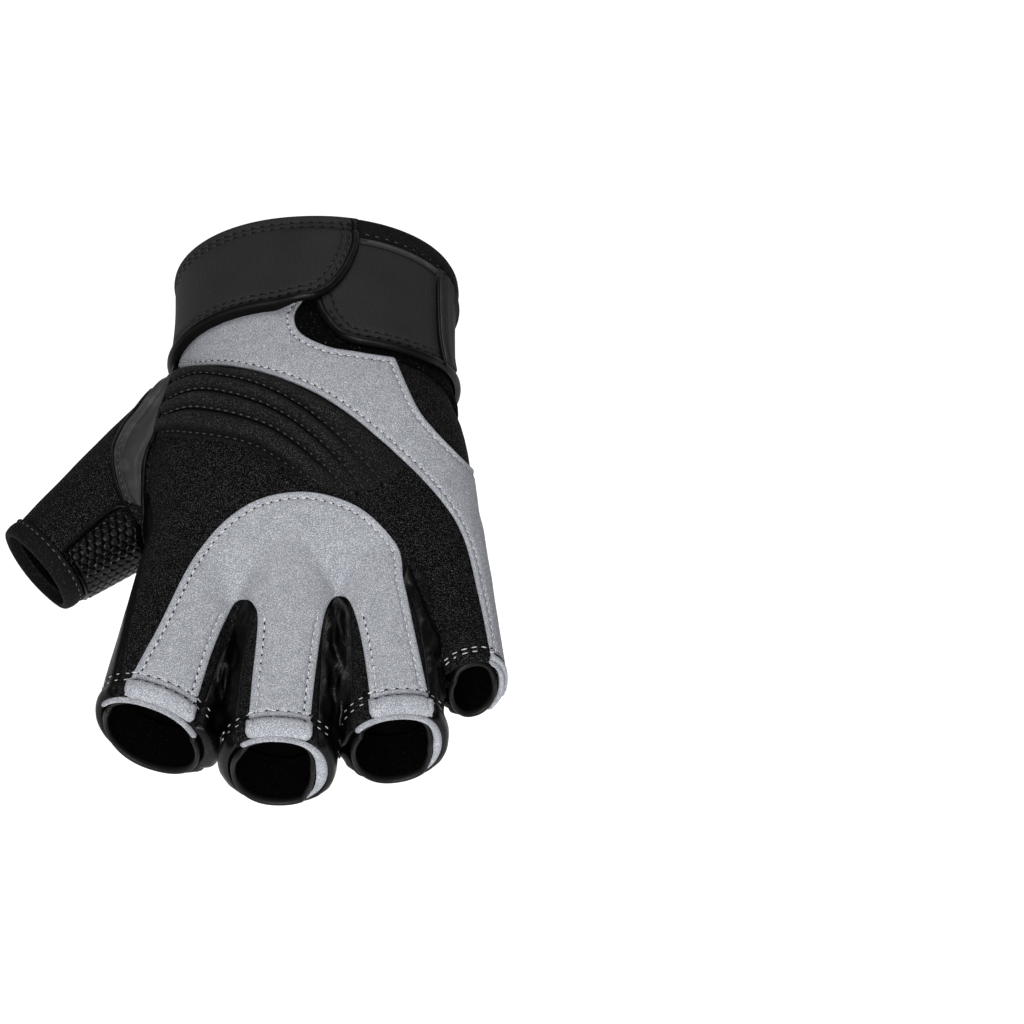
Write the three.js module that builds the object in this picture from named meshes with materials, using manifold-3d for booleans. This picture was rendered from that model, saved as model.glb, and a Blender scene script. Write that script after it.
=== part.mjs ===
// A fingerless fitness glove for a left hand, in the shape that it has when worn.
// Units are millimetres.
// +X runs towards the little finger, +Y towards the forearm and +Z out of the back of the hand.
// The origin is the centre of the wrist opening.
import * as THREE from "three";
import { mergeVertices } from "three/addons/utils/BufferGeometryUtils.js";
import Module from "manifold-3d";

const wasm = await Module();
wasm.setup();

// Driving dimensions
const gap = 0.3; // air left between two sewn layers
const wall = 2.2; // body fabric with its backing
const suede = 1.3; // overlay thickness
const patchWall = 0.9; // embossed leather on the thumb
const liningWall = 1.3;
const liningDepth = 11; // how far a lining tube reaches into its finger
const liningLip = 1.6; // how far it stands out of the finger's edge
const trimWidth = 1.6; // grey facing at a finger's edge
const bandWall = 1.4; // loop fabric under the straps
const strapWall = 1.5;
const piping = 0.8; // height of the rolled edge on a strap
const hemWidth = 6.5; // folded edge of the wrist opening
const ribRise = 2.6; // height of a rib on the quilted pad
const around = 26; // facets round the hand
const aroundFinger = 16; // facets round a finger
const finestDetail = 0.14; // smaller steps are smoothed away
const thumbSeamDrop = 4; // how far the crescent of the thumb reaches below the side seam

const leather = { colour: 0x1b1b1d, roughness: 0.5 };
const fleece = { colour: 0x17171a, roughness: 0.95 };
const greySuede = { colour: 0xa9afb9, roughness: 0.92 };
const webbing = { colour: 0x26272a, roughness: 0.75 };
const lining = { colour: 0x101012, roughness: 0.8 };

// Cross-sections of the hand from the wrist to the roots of the fingers.
// x is the section's centre line, half its half width and middle the height of its widest place.
// turn slants the section's plane and roll tips it over, in degrees.
const handSections = [
  { y: 0, x: -0.2, half: 37.1, top: 24.2, middle: 1.5, bottom: -22.5, round: 2.05, turn: 4, roll: 6 },
  { y: -18, x: 0.2, half: 36.4, top: 24.4, middle: 0.5, bottom: -23.5, round: 2.08, turn: 4, roll: 5 },
  { y: -34, x: 0.2, half: 37, top: 24.4, middle: -1.5, bottom: -25, round: 2.15, turn: 3.5, roll: 4 },
  { y: -47, x: 0.2, half: 39.4, top: 23.8, middle: -3.2, bottom: -26, round: 2.2, turn: 2.5, roll: 3 },
  { y: -60, x: 0.3, half: 43, top: 22.4, middle: -4.8, bottom: -27, round: 2.3, turn: 2, roll: 2 },
  { y: -84, x: 1.6, half: 44.9, top: 17, middle: -8, bottom: -28, round: 2.4, turn: 0, roll: 0 },
  { y: -104, x: 3.4, half: 45.1, top: 10.5, middle: -10.5, bottom: -28.5, round: 2.4, turn: -2, roll: 0 },
  { y: -116, x: 0.2, half: 42.6, top: 3.5, middle: -12, bottom: -27.5, round: 2.3, turn: -5, roll: 0 },
  { y: -124, x: -4, half: 36, top: -5, middle: -13, bottom: -24, round: 2.2, turn: -6, roll: 0 },
];

// Each digit runs from a root inside the hand to the middle of its opening.
// The half sizes are across and through it, and turn and lean slant the opening, in degrees.
const digits = {
  index: {
    root: [-25.3, -92, -4], tip: [-36.8, -154, -15.2],
    rootHalf: [15.2, 14], tipHalf: [15.7, 14], turn: 10, lean: 8,
  },
  middle: {
    root: [-2.5, -92, -2], tip: [-3.8, -165, -16],
    rootHalf: [13.5, 14], tipHalf: [14.5, 14], turn: 0, lean: 9,
  },
  ring: {
    root: [19, -92, -3.5], tip: [25.8, -157.5, -16],
    rootHalf: [13, 13.5], tipHalf: [13.8, 13.8], turn: -2, lean: 9,
  },
  little: {
    root: [36.2, -88, -8], tip: [45.4, -136, -17],
    rootHalf: [11.2, 12], tipHalf: [8.8, 10.6], turn: -4, lean: 12,
  },
  thumb: {
    root: [-19.2, -44, -5.5], tip: [-73.2, -92.1, -18.5],
    rootHalf: [24.4, 15.5], tipHalf: [12.3, 11.5], turn: 0, lean: 0, swell: 1.2,
  },
};
const digitRoundness = 2.2;
const fingerNames = ["index", "middle", "ring", "little"];

// Outlines of the panels, as [across, along] in a pattern plane.
// The plane leans 45 degrees, so that it faces the back of the hand and the fingers' ends alike.
const patternLean = 45;
const outlines = {
  side_overlay: [
    [[-36.5, -21], [-37.5, -16.5], [-31, -5.5], [-18, -1.5], [-4, 0], [4, 0.5]],
    [[4, 0.5], [-1.5, -4], [-3.7, -9], [-1.5, -14], [6, -17.8], [14, -19.2], [23.7, -20.7]],
    [[23.7, -20.7], [29.7, -33.7], [34.4, -40.2], [40.6, -46.8], [54, -60]],
    [[54, -60], [66, -90], [66, -122]],
    [[66, -122], [51.6, -114], [50.6, -104], [46.9, -84], [40.6, -64.4], [24.8, -46.6], [3.4, -30.6],
      [-18.4, -23.3], [-33, -22.9], [-36.5, -21]],
  ],
  knuckle_overlay: [
    [[-44.5, -120], [-42.2, -107.4], [-35.2, -91.8], [-26.3, -72.7], [-14.3, -60.8], [0.2, -57.1],
      [14.8, -60.8], [25.2, -70.6], [27.2, -79.5]],
    [[27.2, -79.5], [31.9, -99.8], [36.6, -120]],
    [[36.6, -120], [21, -122]],
    [[21, -122], [19.6, -108.4], [16.8, -93.8], [14, -86], [11, -84.2], [8, -86], [6.3, -93],
      [4.7, -112.3], [4.4, -128]],
    [[4.4, -128], [-11, -128]],
    [[-11, -128], [-10.4, -108.3], [-9.6, -91], [-11.1, -86.2], [-14, -85], [-17.2, -87], [-21.9, -98.8],
      [-27.5, -122]],
  ],
  thumb_gusset: [
    [[-28, -20], [-33, -30], [-34, -40], [-37.5, -50], [-39.5, -58], [-38.5, -68]],
    [[-38.5, -68], [-46.7, -57.9], [-50.4, -45], [-48.6, -36.5], [-44.5, -31], [-40, -20], [-28, -20]],
  ],
  thumb_grip_patch: [
    [[-64.8, -72.8], [-54.6, -63.8], [-50.6, -61.1], [-47.6, -61.4], [-42, -70]],
    [[-42, -70], [-42, -84]],
    [[-42, -84], [-61.5, -94]],
    [[-61.5, -94], [-64.8, -72.8]],
  ],
};

// Guide lines of the quilted pad in the pattern plane, from the wrist side to the finger side.
// Each rib of the pad lies between two of them.
const padGuides = [
  [[-36, -24], [-27.4, -23.6], [-7.4, -26.8], [14.2, -38.2], [29, -52.4]],
  [[-37, -27.8], [-27.1, -25.6], [-9.3, -29.9], [8, -41.3], [23.4, -57]],
  [[-37.6, -31.6], [-26.7, -30.1], [-9.1, -34.9], [7.1, -46.1], [18.2, -58.6]],
  [[-38.2, -36.4], [-28.5, -35.1], [-9.9, -39.7], [4.6, -49.4], [12.4, -57]],
  [[-38.8, -41], [-33.8, -40.9], [-15.1, -43.9], [-2, -50.8], [6.4, -55.4]],
];

// Plan outlines, as [x, y], of the side pieces between two neighbouring fingers.
const gussets = {
  index_middle_gusset: [
    [-13.5, -115], [-11.4, -124], [-14, -142], [-15.6, -180],
    [-30, -180], [-20.5, -142], [-16, -124],
  ],
  middle_ring_gusset: [
    [10.4, -114], [13, -125], [14, -142], [15.2, -180],
    [7, -180], [7.3, -142], [7.8, -125],
  ],
  ring_little_gusset: [
    [29, -111], [32.2, -117], [35.6, -124], [38.4, -136], [43, -180],
    [37.5, -180], [34.6, -145], [31.2, -125], [27.6, -118],
  ],
};

// Edges of the straps, by the angle round the wrist.
// The angle starts at the little finger's side and runs over the back of the hand.
const longStrapEdge = [
  { angle: 68, lower: -4 },
  { angle: 68.6, lower: -12 },
  { angle: 73, lower: -22.5 },
  { angle: 79, lower: -30.5 },
  { angle: 85, lower: -34.2 },
  { angle: 90, lower: -35.2 },
  { angle: 98, lower: -35.6 },
  { angle: 142, lower: -35 },
  { angle: 155, lower: -30 },
  { angle: 168, lower: -25 },
  { angle: 182, lower: -23 },
  { angle: 236, lower: -23 },
];
const shortStrapEdge = [
  { angle: 27.5, lower: -48 },
  { angle: 40, lower: -48.8 },
  { angle: 63, lower: -49.6 },
  { angle: 74, lower: -48.4 },
  { angle: 79, lower: -45 },
  { angle: 83, lower: -38.5 },
  { angle: 86, lower: -29 },
];
const bandEdge = [
  { angle: 0, lower: -50 },
  { angle: 57, lower: -50.5 },
  { angle: 82, lower: -51.5 },
  { angle: 98, lower: -45 },
  { angle: 120, lower: -41 },
  { angle: 180, lower: -39 },
  { angle: 270, lower: -42 },
  { angle: 360, lower: -50 },
];
const strapEndBar = { from: 9, to: 25.8, upper: -6.6, lowerFrom: -42.5, lowerTo: -49 };

// Layers of the cuff, as heights above the body fabric
const bandTop = gap + bandWall;
const strapBottom = bandTop + 1.5 * gap;
const shortStrapTop = strapBottom + 1.1;
const hemTop = 3.5;
const barTop = 3.7;

const radians = THREE.MathUtils.degToRad;

// A point on a rounded section, at an angle from its widest place towards the back of the hand.
function roundedPoint(angle, halfWidth, up, down, roundness) {
  const c = Math.cos(angle);
  const s = Math.sin(angle);
  const power = 2 / roundness;
  return [
    halfWidth * Math.sign(c) * Math.abs(c) ** power,
    (s > 0 ? up : down) * Math.sign(s) * Math.abs(s) ** power,
  ];
}

// Rows between the table's rows, each column on its own smooth curve.
function smoothRows(rows, count) {
  const made = Array.from({ length: count + 1 }, () => ({}));
  for (const column of Object.keys(rows[0])) {
    const curve = new THREE.SplineCurve(rows.map((row, i) => new THREE.Vector2(i, row[column])));
    made.forEach((row, i) => (row[column] = curve.getPoint(i / count).y));
  }
  return made;
}

// The row at a value of one column, on the straight line between its neighbours in the table.
function rowAt(rows, column, value) {
  const rising = rows.at(-1)[column] > rows[0][column];
  let i = rows.findIndex((row) => (rising ? row[column] > value : row[column] < value));
  if (i < 0) i = rows.length - 1;
  i = Math.max(i, 1);
  const [a, b] = [rows[i - 1], rows[i]];
  const share = THREE.MathUtils.clamp((value - a[column]) / (b[column] - a[column]), 0, 1);
  const made = { ...a };
  for (const key of Object.keys(a)) made[key] = THREE.MathUtils.lerp(a[key], b[key], share);
  return { ...made, [column]: value };
}

function handRowPoint(row, angle, grow) {
  const [dx, dz] = roundedPoint(
    angle,
    row.half + grow,
    row.top - row.middle + grow,
    row.middle - row.bottom + grow,
    row.round,
  );
  const roll = radians(row.roll);
  const x = dx * Math.cos(roll) - dz * Math.sin(roll);
  const z = dx * Math.sin(roll) + dz * Math.cos(roll);
  return new THREE.Vector3(row.x + x, row.y - x * Math.tan(radians(row.turn)), row.middle + z);
}

const fineHandRows = smoothRows(handSections, 56);

// A point of the hand's form at a distance y along it, raised by grow.
function handPoint(y, angle, grow) {
  return handRowPoint(rowAt(fineHandRows, "y", y), angle, grow);
}

// A point of a digit, at a distance back from its opening and raised by grow.
function digitPoint(digit, back, angle, grow) {
  const root = new THREE.Vector3(...digit.root);
  const along = new THREE.Vector3(...digit.tip).sub(root);
  const length = along.length();
  along.normalize();
  const side = new THREE.Vector3(0, 0, 1).cross(along).normalize();
  const up = along.clone().cross(side).normalize();
  const share = 1 - back / length;
  const taper = Math.min(share, 1);
  const swell = (digit.swell ?? 0) * Math.sin(Math.PI * taper);
  const across = THREE.MathUtils.lerp(digit.rootHalf[0], digit.tipHalf[0], taper) + swell + grow;
  const through = THREE.MathUtils.lerp(digit.rootHalf[1], digit.tipHalf[1], taper) + grow;
  const [dx, dz] = roundedPoint(angle, across, through, through, digitRoundness);
  const slant = (dx * Math.tan(radians(digit.turn)) - dz * Math.tan(radians(digit.lean))) * taper;
  return root
    .addScaledVector(along, length - back + slant)
    .addScaledVector(side, dx)
    .addScaledVector(up, dz);
}

// The closed skin over a run of rings of points.
// A loop joins its last ring to its first, else each end has a fan.
function skin(rings, loop = false) {
  const size = rings[0].length;
  const points = rings.flat();
  const faces = [];
  const last = loop ? rings.length : rings.length - 1;
  for (let i = 0; i < last; i++) {
    const next = (i + 1) % rings.length;
    for (let j = 0; j < size; j++) {
      const k = (j + 1) % size;
      faces.push([i * size + j, i * size + k, next * size + k]);
      faces.push([i * size + j, next * size + k, next * size + j]);
    }
  }
  const ends = loop ? [] : [0, rings.length - 1];
  for (const end of ends) {
    const hub = points.length;
    const sum = rings[end].reduce((total, p) => total.add(p), new THREE.Vector3());
    points.push(sum.divideScalar(size));
    for (let j = 0; j < size; j++) {
      const pair = [end * size + j, end * size + ((j + 1) % size)];
      faces.push(end === 0 ? [pair[1], pair[0], hub] : [...pair, hub]);
    }
  }
  const geometry = new THREE.BufferGeometry().setFromPoints(points);
  geometry.setIndex(faces.flat());
  return solidOf(geometry);
}

// Six times the volume inside a closed mesh, which is below zero where its faces look inwards.
function signedVolume(vertices, triangles) {
  const corner = (i) => new THREE.Vector3().fromArray(vertices, 3 * i);
  let sum = 0;
  for (let i = 0; i < triangles.length; i += 3) {
    const [a, b, c] = [0, 1, 2].map((k) => corner(triangles[i + k]));
    sum += a.dot(b.cross(c));
  }
  return sum;
}

function solidOf(geometry) {
  geometry.deleteAttribute("normal");
  geometry.deleteAttribute("uv");
  const merged = mergeVertices(geometry, 1e-4);
  const vertProperties = new Float32Array(merged.attributes.position.array);
  const triVerts = new Uint32Array(merged.index.array);
  if (signedVolume(vertProperties, triVerts) < 0) triVerts.reverse();
  return new wasm.Manifold(new wasm.Mesh({ numProp: 3, vertProperties, triVerts }));
}

function circle(count, from = 0, to = 360) {
  const steps = to - from === 360 ? count : count + 1;
  return Array.from({ length: steps }, (_, i) => radians(from + ((to - from) * i) / count));
}

// The hand's form raised by grow, running past the wrist opening by extend.
function handSolid(grow, extend = 0) {
  const rows = smoothRows(handSections, 8);
  if (extend) rows.unshift({ ...rows[0], y: rows[0].y + extend });
  rows.at(-1).y -= grow;
  return skin(rows.map((row) => circle(around).map((angle) => handRowPoint(row, angle, grow))));
}

// A digit's form raised by grow, running past its opening by extend.
function digitSolid(digit, grow, extend = 0) {
  const length = new THREE.Vector3(...digit.root).distanceTo(new THREE.Vector3(...digit.tip));
  const steps = 4;
  const backs = Array.from({ length: steps + 1 }, (_, i) => length * (1 - i / steps));
  if (extend) backs.push(-extend);
  const ring = (back) => circle(aroundFinger).map((angle) => digitPoint(digit, back, angle, grow));
  return skin(backs.map(ring));
}

// Hand and four fingers together, raised by grow.
function bodySolid(grow, extend = 0) {
  const fingers = fingerNames.map((name) => digitSolid(digits[name], grow, extend));
  return fingers.reduce((sum, finger) => sum.add(finger), handSolid(grow, extend));
}

function planCurve(points) {
  return new THREE.SplineCurve(points.map((p) => new THREE.Vector2(...p)));
}

// The points of an outline made of smooth stretches that meet in corners.
function outlinePoints(stretches, spacing = 3) {
  return stretches.flatMap((stretch) => {
    const curve = planCurve(stretch);
    const count = stretch.length === 2 ? 1 : Math.ceil(curve.getLength() / spacing);
    return curve.getPoints(count).slice(0, -1).map((p) => [p.x, p.y]);
  });
}

// A tall prism over an outline in the pattern plane, set in or out at its edge.
function patternPrism(points, offset = 0) {
  return new wasm.CrossSection([points], "NonZero")
    .offset(offset, "Round", 2, 8)
    .extrude(240, 0, 0, [1, 1], true)
    .rotate([patternLean, 0, 0]);
}

function planPrism(points, offset) {
  return new wasm.CrossSection([points], "NonZero")
    .offset(offset, "Round", 2, 8)
    .extrude(120, 0, 0, [1, 1], true);
}

// Height of the seam between the back and the palm, higher along the index finger's outer side.
function seamHeight(x, y) {
  const towardsFingers = THREE.MathUtils.smoothstep(-y, 60, 95);
  const indexSide = Math.exp(-(((x + 50) / 16) ** 2));
  return 0.13 * y - 0.1 * x * Math.min(-y / 100, 1) + 13 * towardsFingers * indexSide;
}

// Everything above the seam, moved up by raise.
function aboveSeam(raise) {
  const box = new THREE.BoxGeometry(220, 240, 200, 14, 12, 1).translate(-10, -90, 0);
  const place = box.attributes.position;
  for (let i = 0; i < place.count; i++) {
    if (place.getZ(i) < 0) place.setZ(i, seamHeight(place.getX(i), place.getY(i)) + raise);
  }
  return solidOf(box);
}

// A closed band on the cuff. profile gives the ring of [y, grow] pairs at an angle in degrees.
function cuffPiece(angles, profile, loop = false) {
  const ring = (angle) => profile(angle).map(([y, grow]) => handPoint(y, radians(angle), grow));
  return skin(angles.map(ring), loop);
}

// A closed band on a digit. profile is a ring of [back, grow] pairs.
function digitPiece(digit, profile, from = 0, to = 360) {
  const steps = to - from === 360 ? aroundFinger : aroundFinger / 2;
  const rings = circle(steps, from, to).map((angle) =>
    profile.map(([back, grow]) => digitPoint(digit, back, angle, grow)),
  );
  return skin(rings, to - from === 360);
}

// A strap's section, with a rolled edge of height rolled along its lower side.
// Above the line shelf it lies lower by drop, where no other strap is under it.
function strapProfile({ upper, lower, bottom, thickness, rolled, shelf = upper, drop = 0 }) {
  const roll = Math.min(3, (upper - lower) / 3);
  const main = Math.max(shelf - 1, lower + roll);
  const rows = [
    [upper, bottom - drop],
    [Math.max(shelf, lower + roll), bottom - drop],
    [main, bottom],
    [THREE.MathUtils.lerp(main, lower + roll, 0.5), bottom],
    [lower + roll, bottom],
  ];
  const top = bottom + thickness;
  return [
    ...rows.map(([y, grow]) => [y, grow + thickness]),
    [lower + roll * 0.7, top + rolled],
    [lower + roll * 0.25, top + rolled],
    [lower, top - 0.2],
    [lower + roll * 0.1, bottom],
    ...rows.toReversed(),
  ];
}

// Angles from one to another, closer together where the table's rows are.
function strapAngles(table, step) {
  return table.flatMap((row, i) => {
    if (i === table.length - 1) return [row.angle];
    const span = table[i + 1].angle - row.angle;
    const count = Math.max(1, Math.round(span / step));
    return Array.from({ length: count }, (_, k) => row.angle + (span * k) / count);
  });
}

function longStrap() {
  const overShort = shortStrapTop + 1.5 * gap;
  return cuffPiece(strapAngles(longStrapEdge, 9), (angle) => {
    const lift = (overShort - strapBottom) * THREE.MathUtils.smoothstep(-angle, -100, -90);
    return strapProfile({
      upper: 2.2,
      lower: rowAt(longStrapEdge, "angle", angle).lower,
      bottom: strapBottom + lift,
      thickness: strapWall,
      rolled: piping,
      shelf: strapEndBar.upper + 1.4,
      drop: lift,
    });
  });
}

function shortStrap() {
  return cuffPiece(strapAngles(shortStrapEdge, 7), (angle) => {
    return strapProfile({
      upper: strapEndBar.upper,
      lower: rowAt(shortStrapEdge, "angle", angle).lower,
      bottom: strapBottom,
      thickness: shortStrapTop - strapBottom,
      rolled: piping * (1 - THREE.MathUtils.smoothstep(angle, 79, 83)),
      shelf: -20,
    });
  });
}

function endBar() {
  const { from, to, upper, lowerFrom, lowerTo } = strapEndBar;
  const steps = [from, (3 * from + to) / 4, (from + to) / 2, to - 1.5, to];
  return cuffPiece(steps, (angle) => {
    const lower = THREE.MathUtils.mapLinear(angle, from, to, lowerFrom, lowerTo);
    const top = angle === to || angle === from ? barTop - 0.8 : barTop;
    const rows = [0, 0.33, 0.66, 1].map((share) => THREE.MathUtils.lerp(upper, lower, share));
    return [...rows.map((y) => [y, top]), ...rows.toReversed().map((y) => [y, strapBottom])];
  });
}

// A band of loop fabric with a slanting lower edge, cut from a layer over the hand.
function cuffBand() {
  const upper = circle(around).map((angle) => handPoint(-hemWidth + 1.9, angle, 20));
  const lower = circle(around).map((angle) => {
    return handPoint(rowAt(bandEdge, "angle", THREE.MathUtils.radToDeg(angle)).lower, angle, 20);
  });
  return handSolid(bandTop).subtract(handSolid(gap, 5)).intersect(skin([upper, lower]));
}

// The folded wrist edge wraps round the body's end and stands thicker where no strap lies on it.
function cuffHem() {
  const inside = -wall - gap - 1;
  const angles = circle(around).map((angle) => THREE.MathUtils.radToDeg(angle));
  return cuffPiece(angles, (angle) => {
    const bare = angle < 66 || angle > 242;
    const top = bare ? hemTop : bandTop;
    const edge = bare ? 1.4 : 0.9;
    return [
      [-hemWidth + 2.3, gap],
      [-hemWidth + 2.3, top],
      [edge, top],
      [edge + 1, top - 1],
      [edge + 1, inside + 0.8],
      [edge, inside],
      [-hemWidth, inside],
      [-hemWidth, -wall - gap],
      [0.3, -wall - gap],
      [0.3, gap],
    ];
  }, true);
}

// A lining tube with a rounded lip that stands out of the finger's edge.
function liningTube(digit) {
  const outer = -wall - gap;
  const inner = outer - liningWall;
  return digitPiece(digit, [
    [liningDepth, outer],
    [liningDepth, inner],
    [-liningLip + 0.5, inner],
    [-liningLip, inner + 0.4],
    [-liningLip, outer - 0.3],
    [-liningLip + 0.6, outer],
  ]);
}

// The grey facing along part of a finger's edge, just past the sleeve.
function edgeTrim(digit, from, to) {
  const back = -gap;
  return digitPiece(digit, [
    [back, -wall + 0.1],
    [back - 0.9, -wall + 0.1],
    [back - 1.1, -wall + trimWidth * 0.6],
    [back - 0.5, -wall + trimWidth + 0.2],
    [back, -wall + trimWidth + 0.2],
  ], from, to);
}

// A point of the hand under a place in the pattern plane, raised by rise.
function handUnder(across, along, rise) {
  const place = (y, angle) => {
    const p = handPoint(y, angle, 0);
    return [p.x, (p.y + p.z) / Math.SQRT2];
  };
  let y = along * Math.SQRT2 - 18;
  let angle = Math.acos(THREE.MathUtils.clamp(across / 44, -0.98, 0.98));
  const small = 1e-3;
  for (let i = 0; i < 12; i++) {
    const [u, v] = place(y, angle);
    const [uy, vy] = place(y + small, angle).map((value, k) => (value - [u, v][k]) / small);
    const [ua, va] = place(y, angle + small).map((value, k) => (value - [u, v][k]) / small);
    const scale = uy * va - ua * vy;
    y += ((across - u) * va - (along - v) * ua) / scale;
    angle += ((along - v) * uy - (across - u) * vy) / scale;
  }
  return handPoint(y, angle, rise);
}

function padOutline() {
  const [first, last] = [padGuides[0], padGuides.at(-1)];
  return outlinePoints([first, [first.at(-1), last.at(-1)], last.toReversed(), [last[0], first[0]]]);
}

// The pad is one sheet whose outer side swells into a rib between each two guide lines.
function quiltedPad() {
  const ribSteps = 4;
  const steps = 12;
  const guides = padGuides.map(planCurve);
  const rings = Array.from({ length: steps + 1 }, (_, i) => {
    const share = i / steps;
    const fade = 1 - 0.8 * THREE.MathUtils.smoothstep(share, 0.65, 1);
    const marks = guides.map((guide) => guide.getPoint(share));
    const outer = [];
    const inner = [];
    for (let k = 0; k <= ribSteps * (guides.length - 1); k++) {
      const rib = Math.min(Math.floor(k / ribSteps), guides.length - 2);
      const part = k / ribSteps - rib;
      const spot = marks[rib].clone().lerp(marks[rib + 1], part);
      const swell = Math.sqrt(Math.abs(Math.sin(Math.PI * part)));
      outer.push(handUnder(spot.x, spot.y, gap + 0.9 + (ribRise - 0.9) * swell * fade));
      inner.unshift(handUnder(spot.x, spot.y, gap + 0.15));
    }
    return [...outer, ...inner];
  });
  return skin(rings);
}

// Only the largest piece of a cut, without slivers.
function mainBody(solid) {
  return solid.decompose().sort((a, b) => b.volume() - a.volume())[0];
}

const glove = new THREE.Group();

function addNode(name, solid, finish) {
  const made = mainBody(solid.simplify(finestDetail)).getMesh();
  const geometry = new THREE.BufferGeometry();
  geometry.setAttribute("position", new THREE.BufferAttribute(new Float32Array(made.vertProperties), 3));
  geometry.setIndex(new THREE.BufferAttribute(new Uint32Array(made.triVerts), 1));
  const { colour, roughness } = finish;
  const material = new THREE.MeshStandardMaterial({ color: colour, roughness, metalness: 0 });
  const mesh = new THREE.Mesh(geometry, material);
  mesh.name = name;
  glove.add(mesh);
}

// Body fabric: one hollow shell, parted along the seam and between the fingers
const thumbForm = digitSolid(digits.thumb, 0);
const thumbCavity = digitSolid(digits.thumb, -wall, 20);
const bodyCavity = bodySolid(-wall, 20);
const body = bodySolid(0).subtract(bodyCavity).subtract(thumbCavity);
const half = gap / 2;
let panels = body;
for (const [name, outline] of Object.entries(gussets)) {
  addNode(name, body.intersect(planPrism(outline, -half)), leather);
  panels = panels.subtract(planPrism(outline, half));
}
addNode("back_panel", panels.intersect(aboveSeam(half)), fleece);
addNode("palm_panel", panels.subtract(aboveSeam(-half)), leather);

// Thumb
const thumbShell = thumbForm.subtract(thumbCavity).subtract(bodySolid(gap));
const crescent = outlinePoints(outlines.thumb_gusset);
const crescentCut = patternPrism(crescent, -half).intersect(aboveSeam(-thumbSeamDrop));
const crescentRoom = patternPrism(crescent, half).intersect(aboveSeam(-thumbSeamDrop - gap));
addNode("thumb_gusset", thumbShell.intersect(crescentCut), leather);
addNode("thumb_sleeve", thumbShell.subtract(crescentRoom), fleece);
const patch = patternPrism(outlinePoints(outlines.thumb_grip_patch));
const thumbRaised = digitSolid(digits.thumb, gap + patchWall).subtract(digitSolid(digits.thumb, gap, 5));
const clearOfBody = bodySolid(2 * gap + patchWall);
addNode("thumb_grip_patch", thumbRaised.intersect(patch).subtract(clearOfBody), leather);

// Overlays
const raised = bodySolid(gap + suede).subtract(bodySolid(gap, 5));
const clearOfThumb = digitSolid(digits.thumb, gap);
const sidePrism = outlinePoints(outlines.side_overlay);
const upper = aboveSeam(half);
const sideCut = patternPrism(sidePrism).intersect(upper).subtract(clearOfThumb);
addNode("side_overlay", raised.intersect(sideCut), greySuede);
const knucklePrism = patternPrism(outlinePoints(outlines.knuckle_overlay));
addNode("knuckle_overlay", raised.intersect(knucklePrism).intersect(aboveSeam(3)), greySuede);
const padRoom = patternPrism(sidePrism, gap)
  .add(patternPrism(outlinePoints(outlines.knuckle_overlay), gap))
  .add(clearOfThumb);
addNode("quilted_pad", quiltedPad().subtract(padRoom), fleece);

// Cuff
const bandCut = patternPrism(sidePrism, gap).add(patternPrism(padOutline(), gap)).intersect(upper);
addNode("cuff_band", cuffBand().subtract(bandCut).subtract(clearOfThumb), webbing);
addNode("cuff_hem", cuffHem(), webbing);
addNode("wrist_strap_long", longStrap(), webbing);
addNode("wrist_strap_short", shortStrap(), webbing);
addNode("strap_end_bar", endBar(), webbing);

// Openings
for (const [name, digit] of Object.entries(digits)) addNode(`${name}_lining`, liningTube(digit), lining);
addNode("index_edge_trim", edgeTrim(digits.index, 30, 150), greySuede);
addNode("middle_edge_trim", edgeTrim(digits.middle, -60, 120), greySuede);
addNode("ring_edge_trim", edgeTrim(digits.ring, -45, 135), greySuede);

export default glove;
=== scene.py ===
import math

import bpy
import numpy as np
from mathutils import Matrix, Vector, noise
from mathutils.bvhtree import BVHTree
from mathutils.kdtree import KDTree


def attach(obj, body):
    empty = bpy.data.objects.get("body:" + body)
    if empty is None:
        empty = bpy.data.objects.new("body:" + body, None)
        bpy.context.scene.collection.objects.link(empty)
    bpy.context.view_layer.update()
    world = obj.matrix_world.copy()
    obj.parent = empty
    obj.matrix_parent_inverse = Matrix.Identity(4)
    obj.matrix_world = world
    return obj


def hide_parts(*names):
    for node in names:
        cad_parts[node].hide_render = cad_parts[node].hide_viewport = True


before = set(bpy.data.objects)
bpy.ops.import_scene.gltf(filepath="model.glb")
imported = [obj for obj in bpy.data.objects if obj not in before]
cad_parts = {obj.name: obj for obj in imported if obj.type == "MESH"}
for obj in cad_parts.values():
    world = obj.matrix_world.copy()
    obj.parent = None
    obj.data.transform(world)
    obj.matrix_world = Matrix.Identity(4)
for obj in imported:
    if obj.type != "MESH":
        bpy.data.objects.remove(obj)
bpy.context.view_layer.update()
mm = 0.001  # lengths below are millimetres until a mesh is made

# the camera looks down at the glove from above the fingers
shot = {"target": (0.0557, -0.085, -0.003), "distance": 0.9, "elevation": 45, "lens": 117.77}


def makeCamera():
    lean = math.radians(shot["elevation"])
    target = Vector(shot["target"])
    away = Vector((0, -math.cos(lean), math.sin(lean))) * shot["distance"]
    camera = bpy.data.objects.new("camera", bpy.data.cameras.new("camera"))
    camera.data.lens = shot["lens"]
    camera.data.sensor_width = 36
    camera.data.clip_end = 20
    camera.location = target + away
    camera.rotation_euler = (-away).to_track_quat("-Z", "Y").to_euler()
    bpy.context.scene.collection.objects.link(camera)
    bpy.context.scene.camera = camera


makeCamera()


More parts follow.
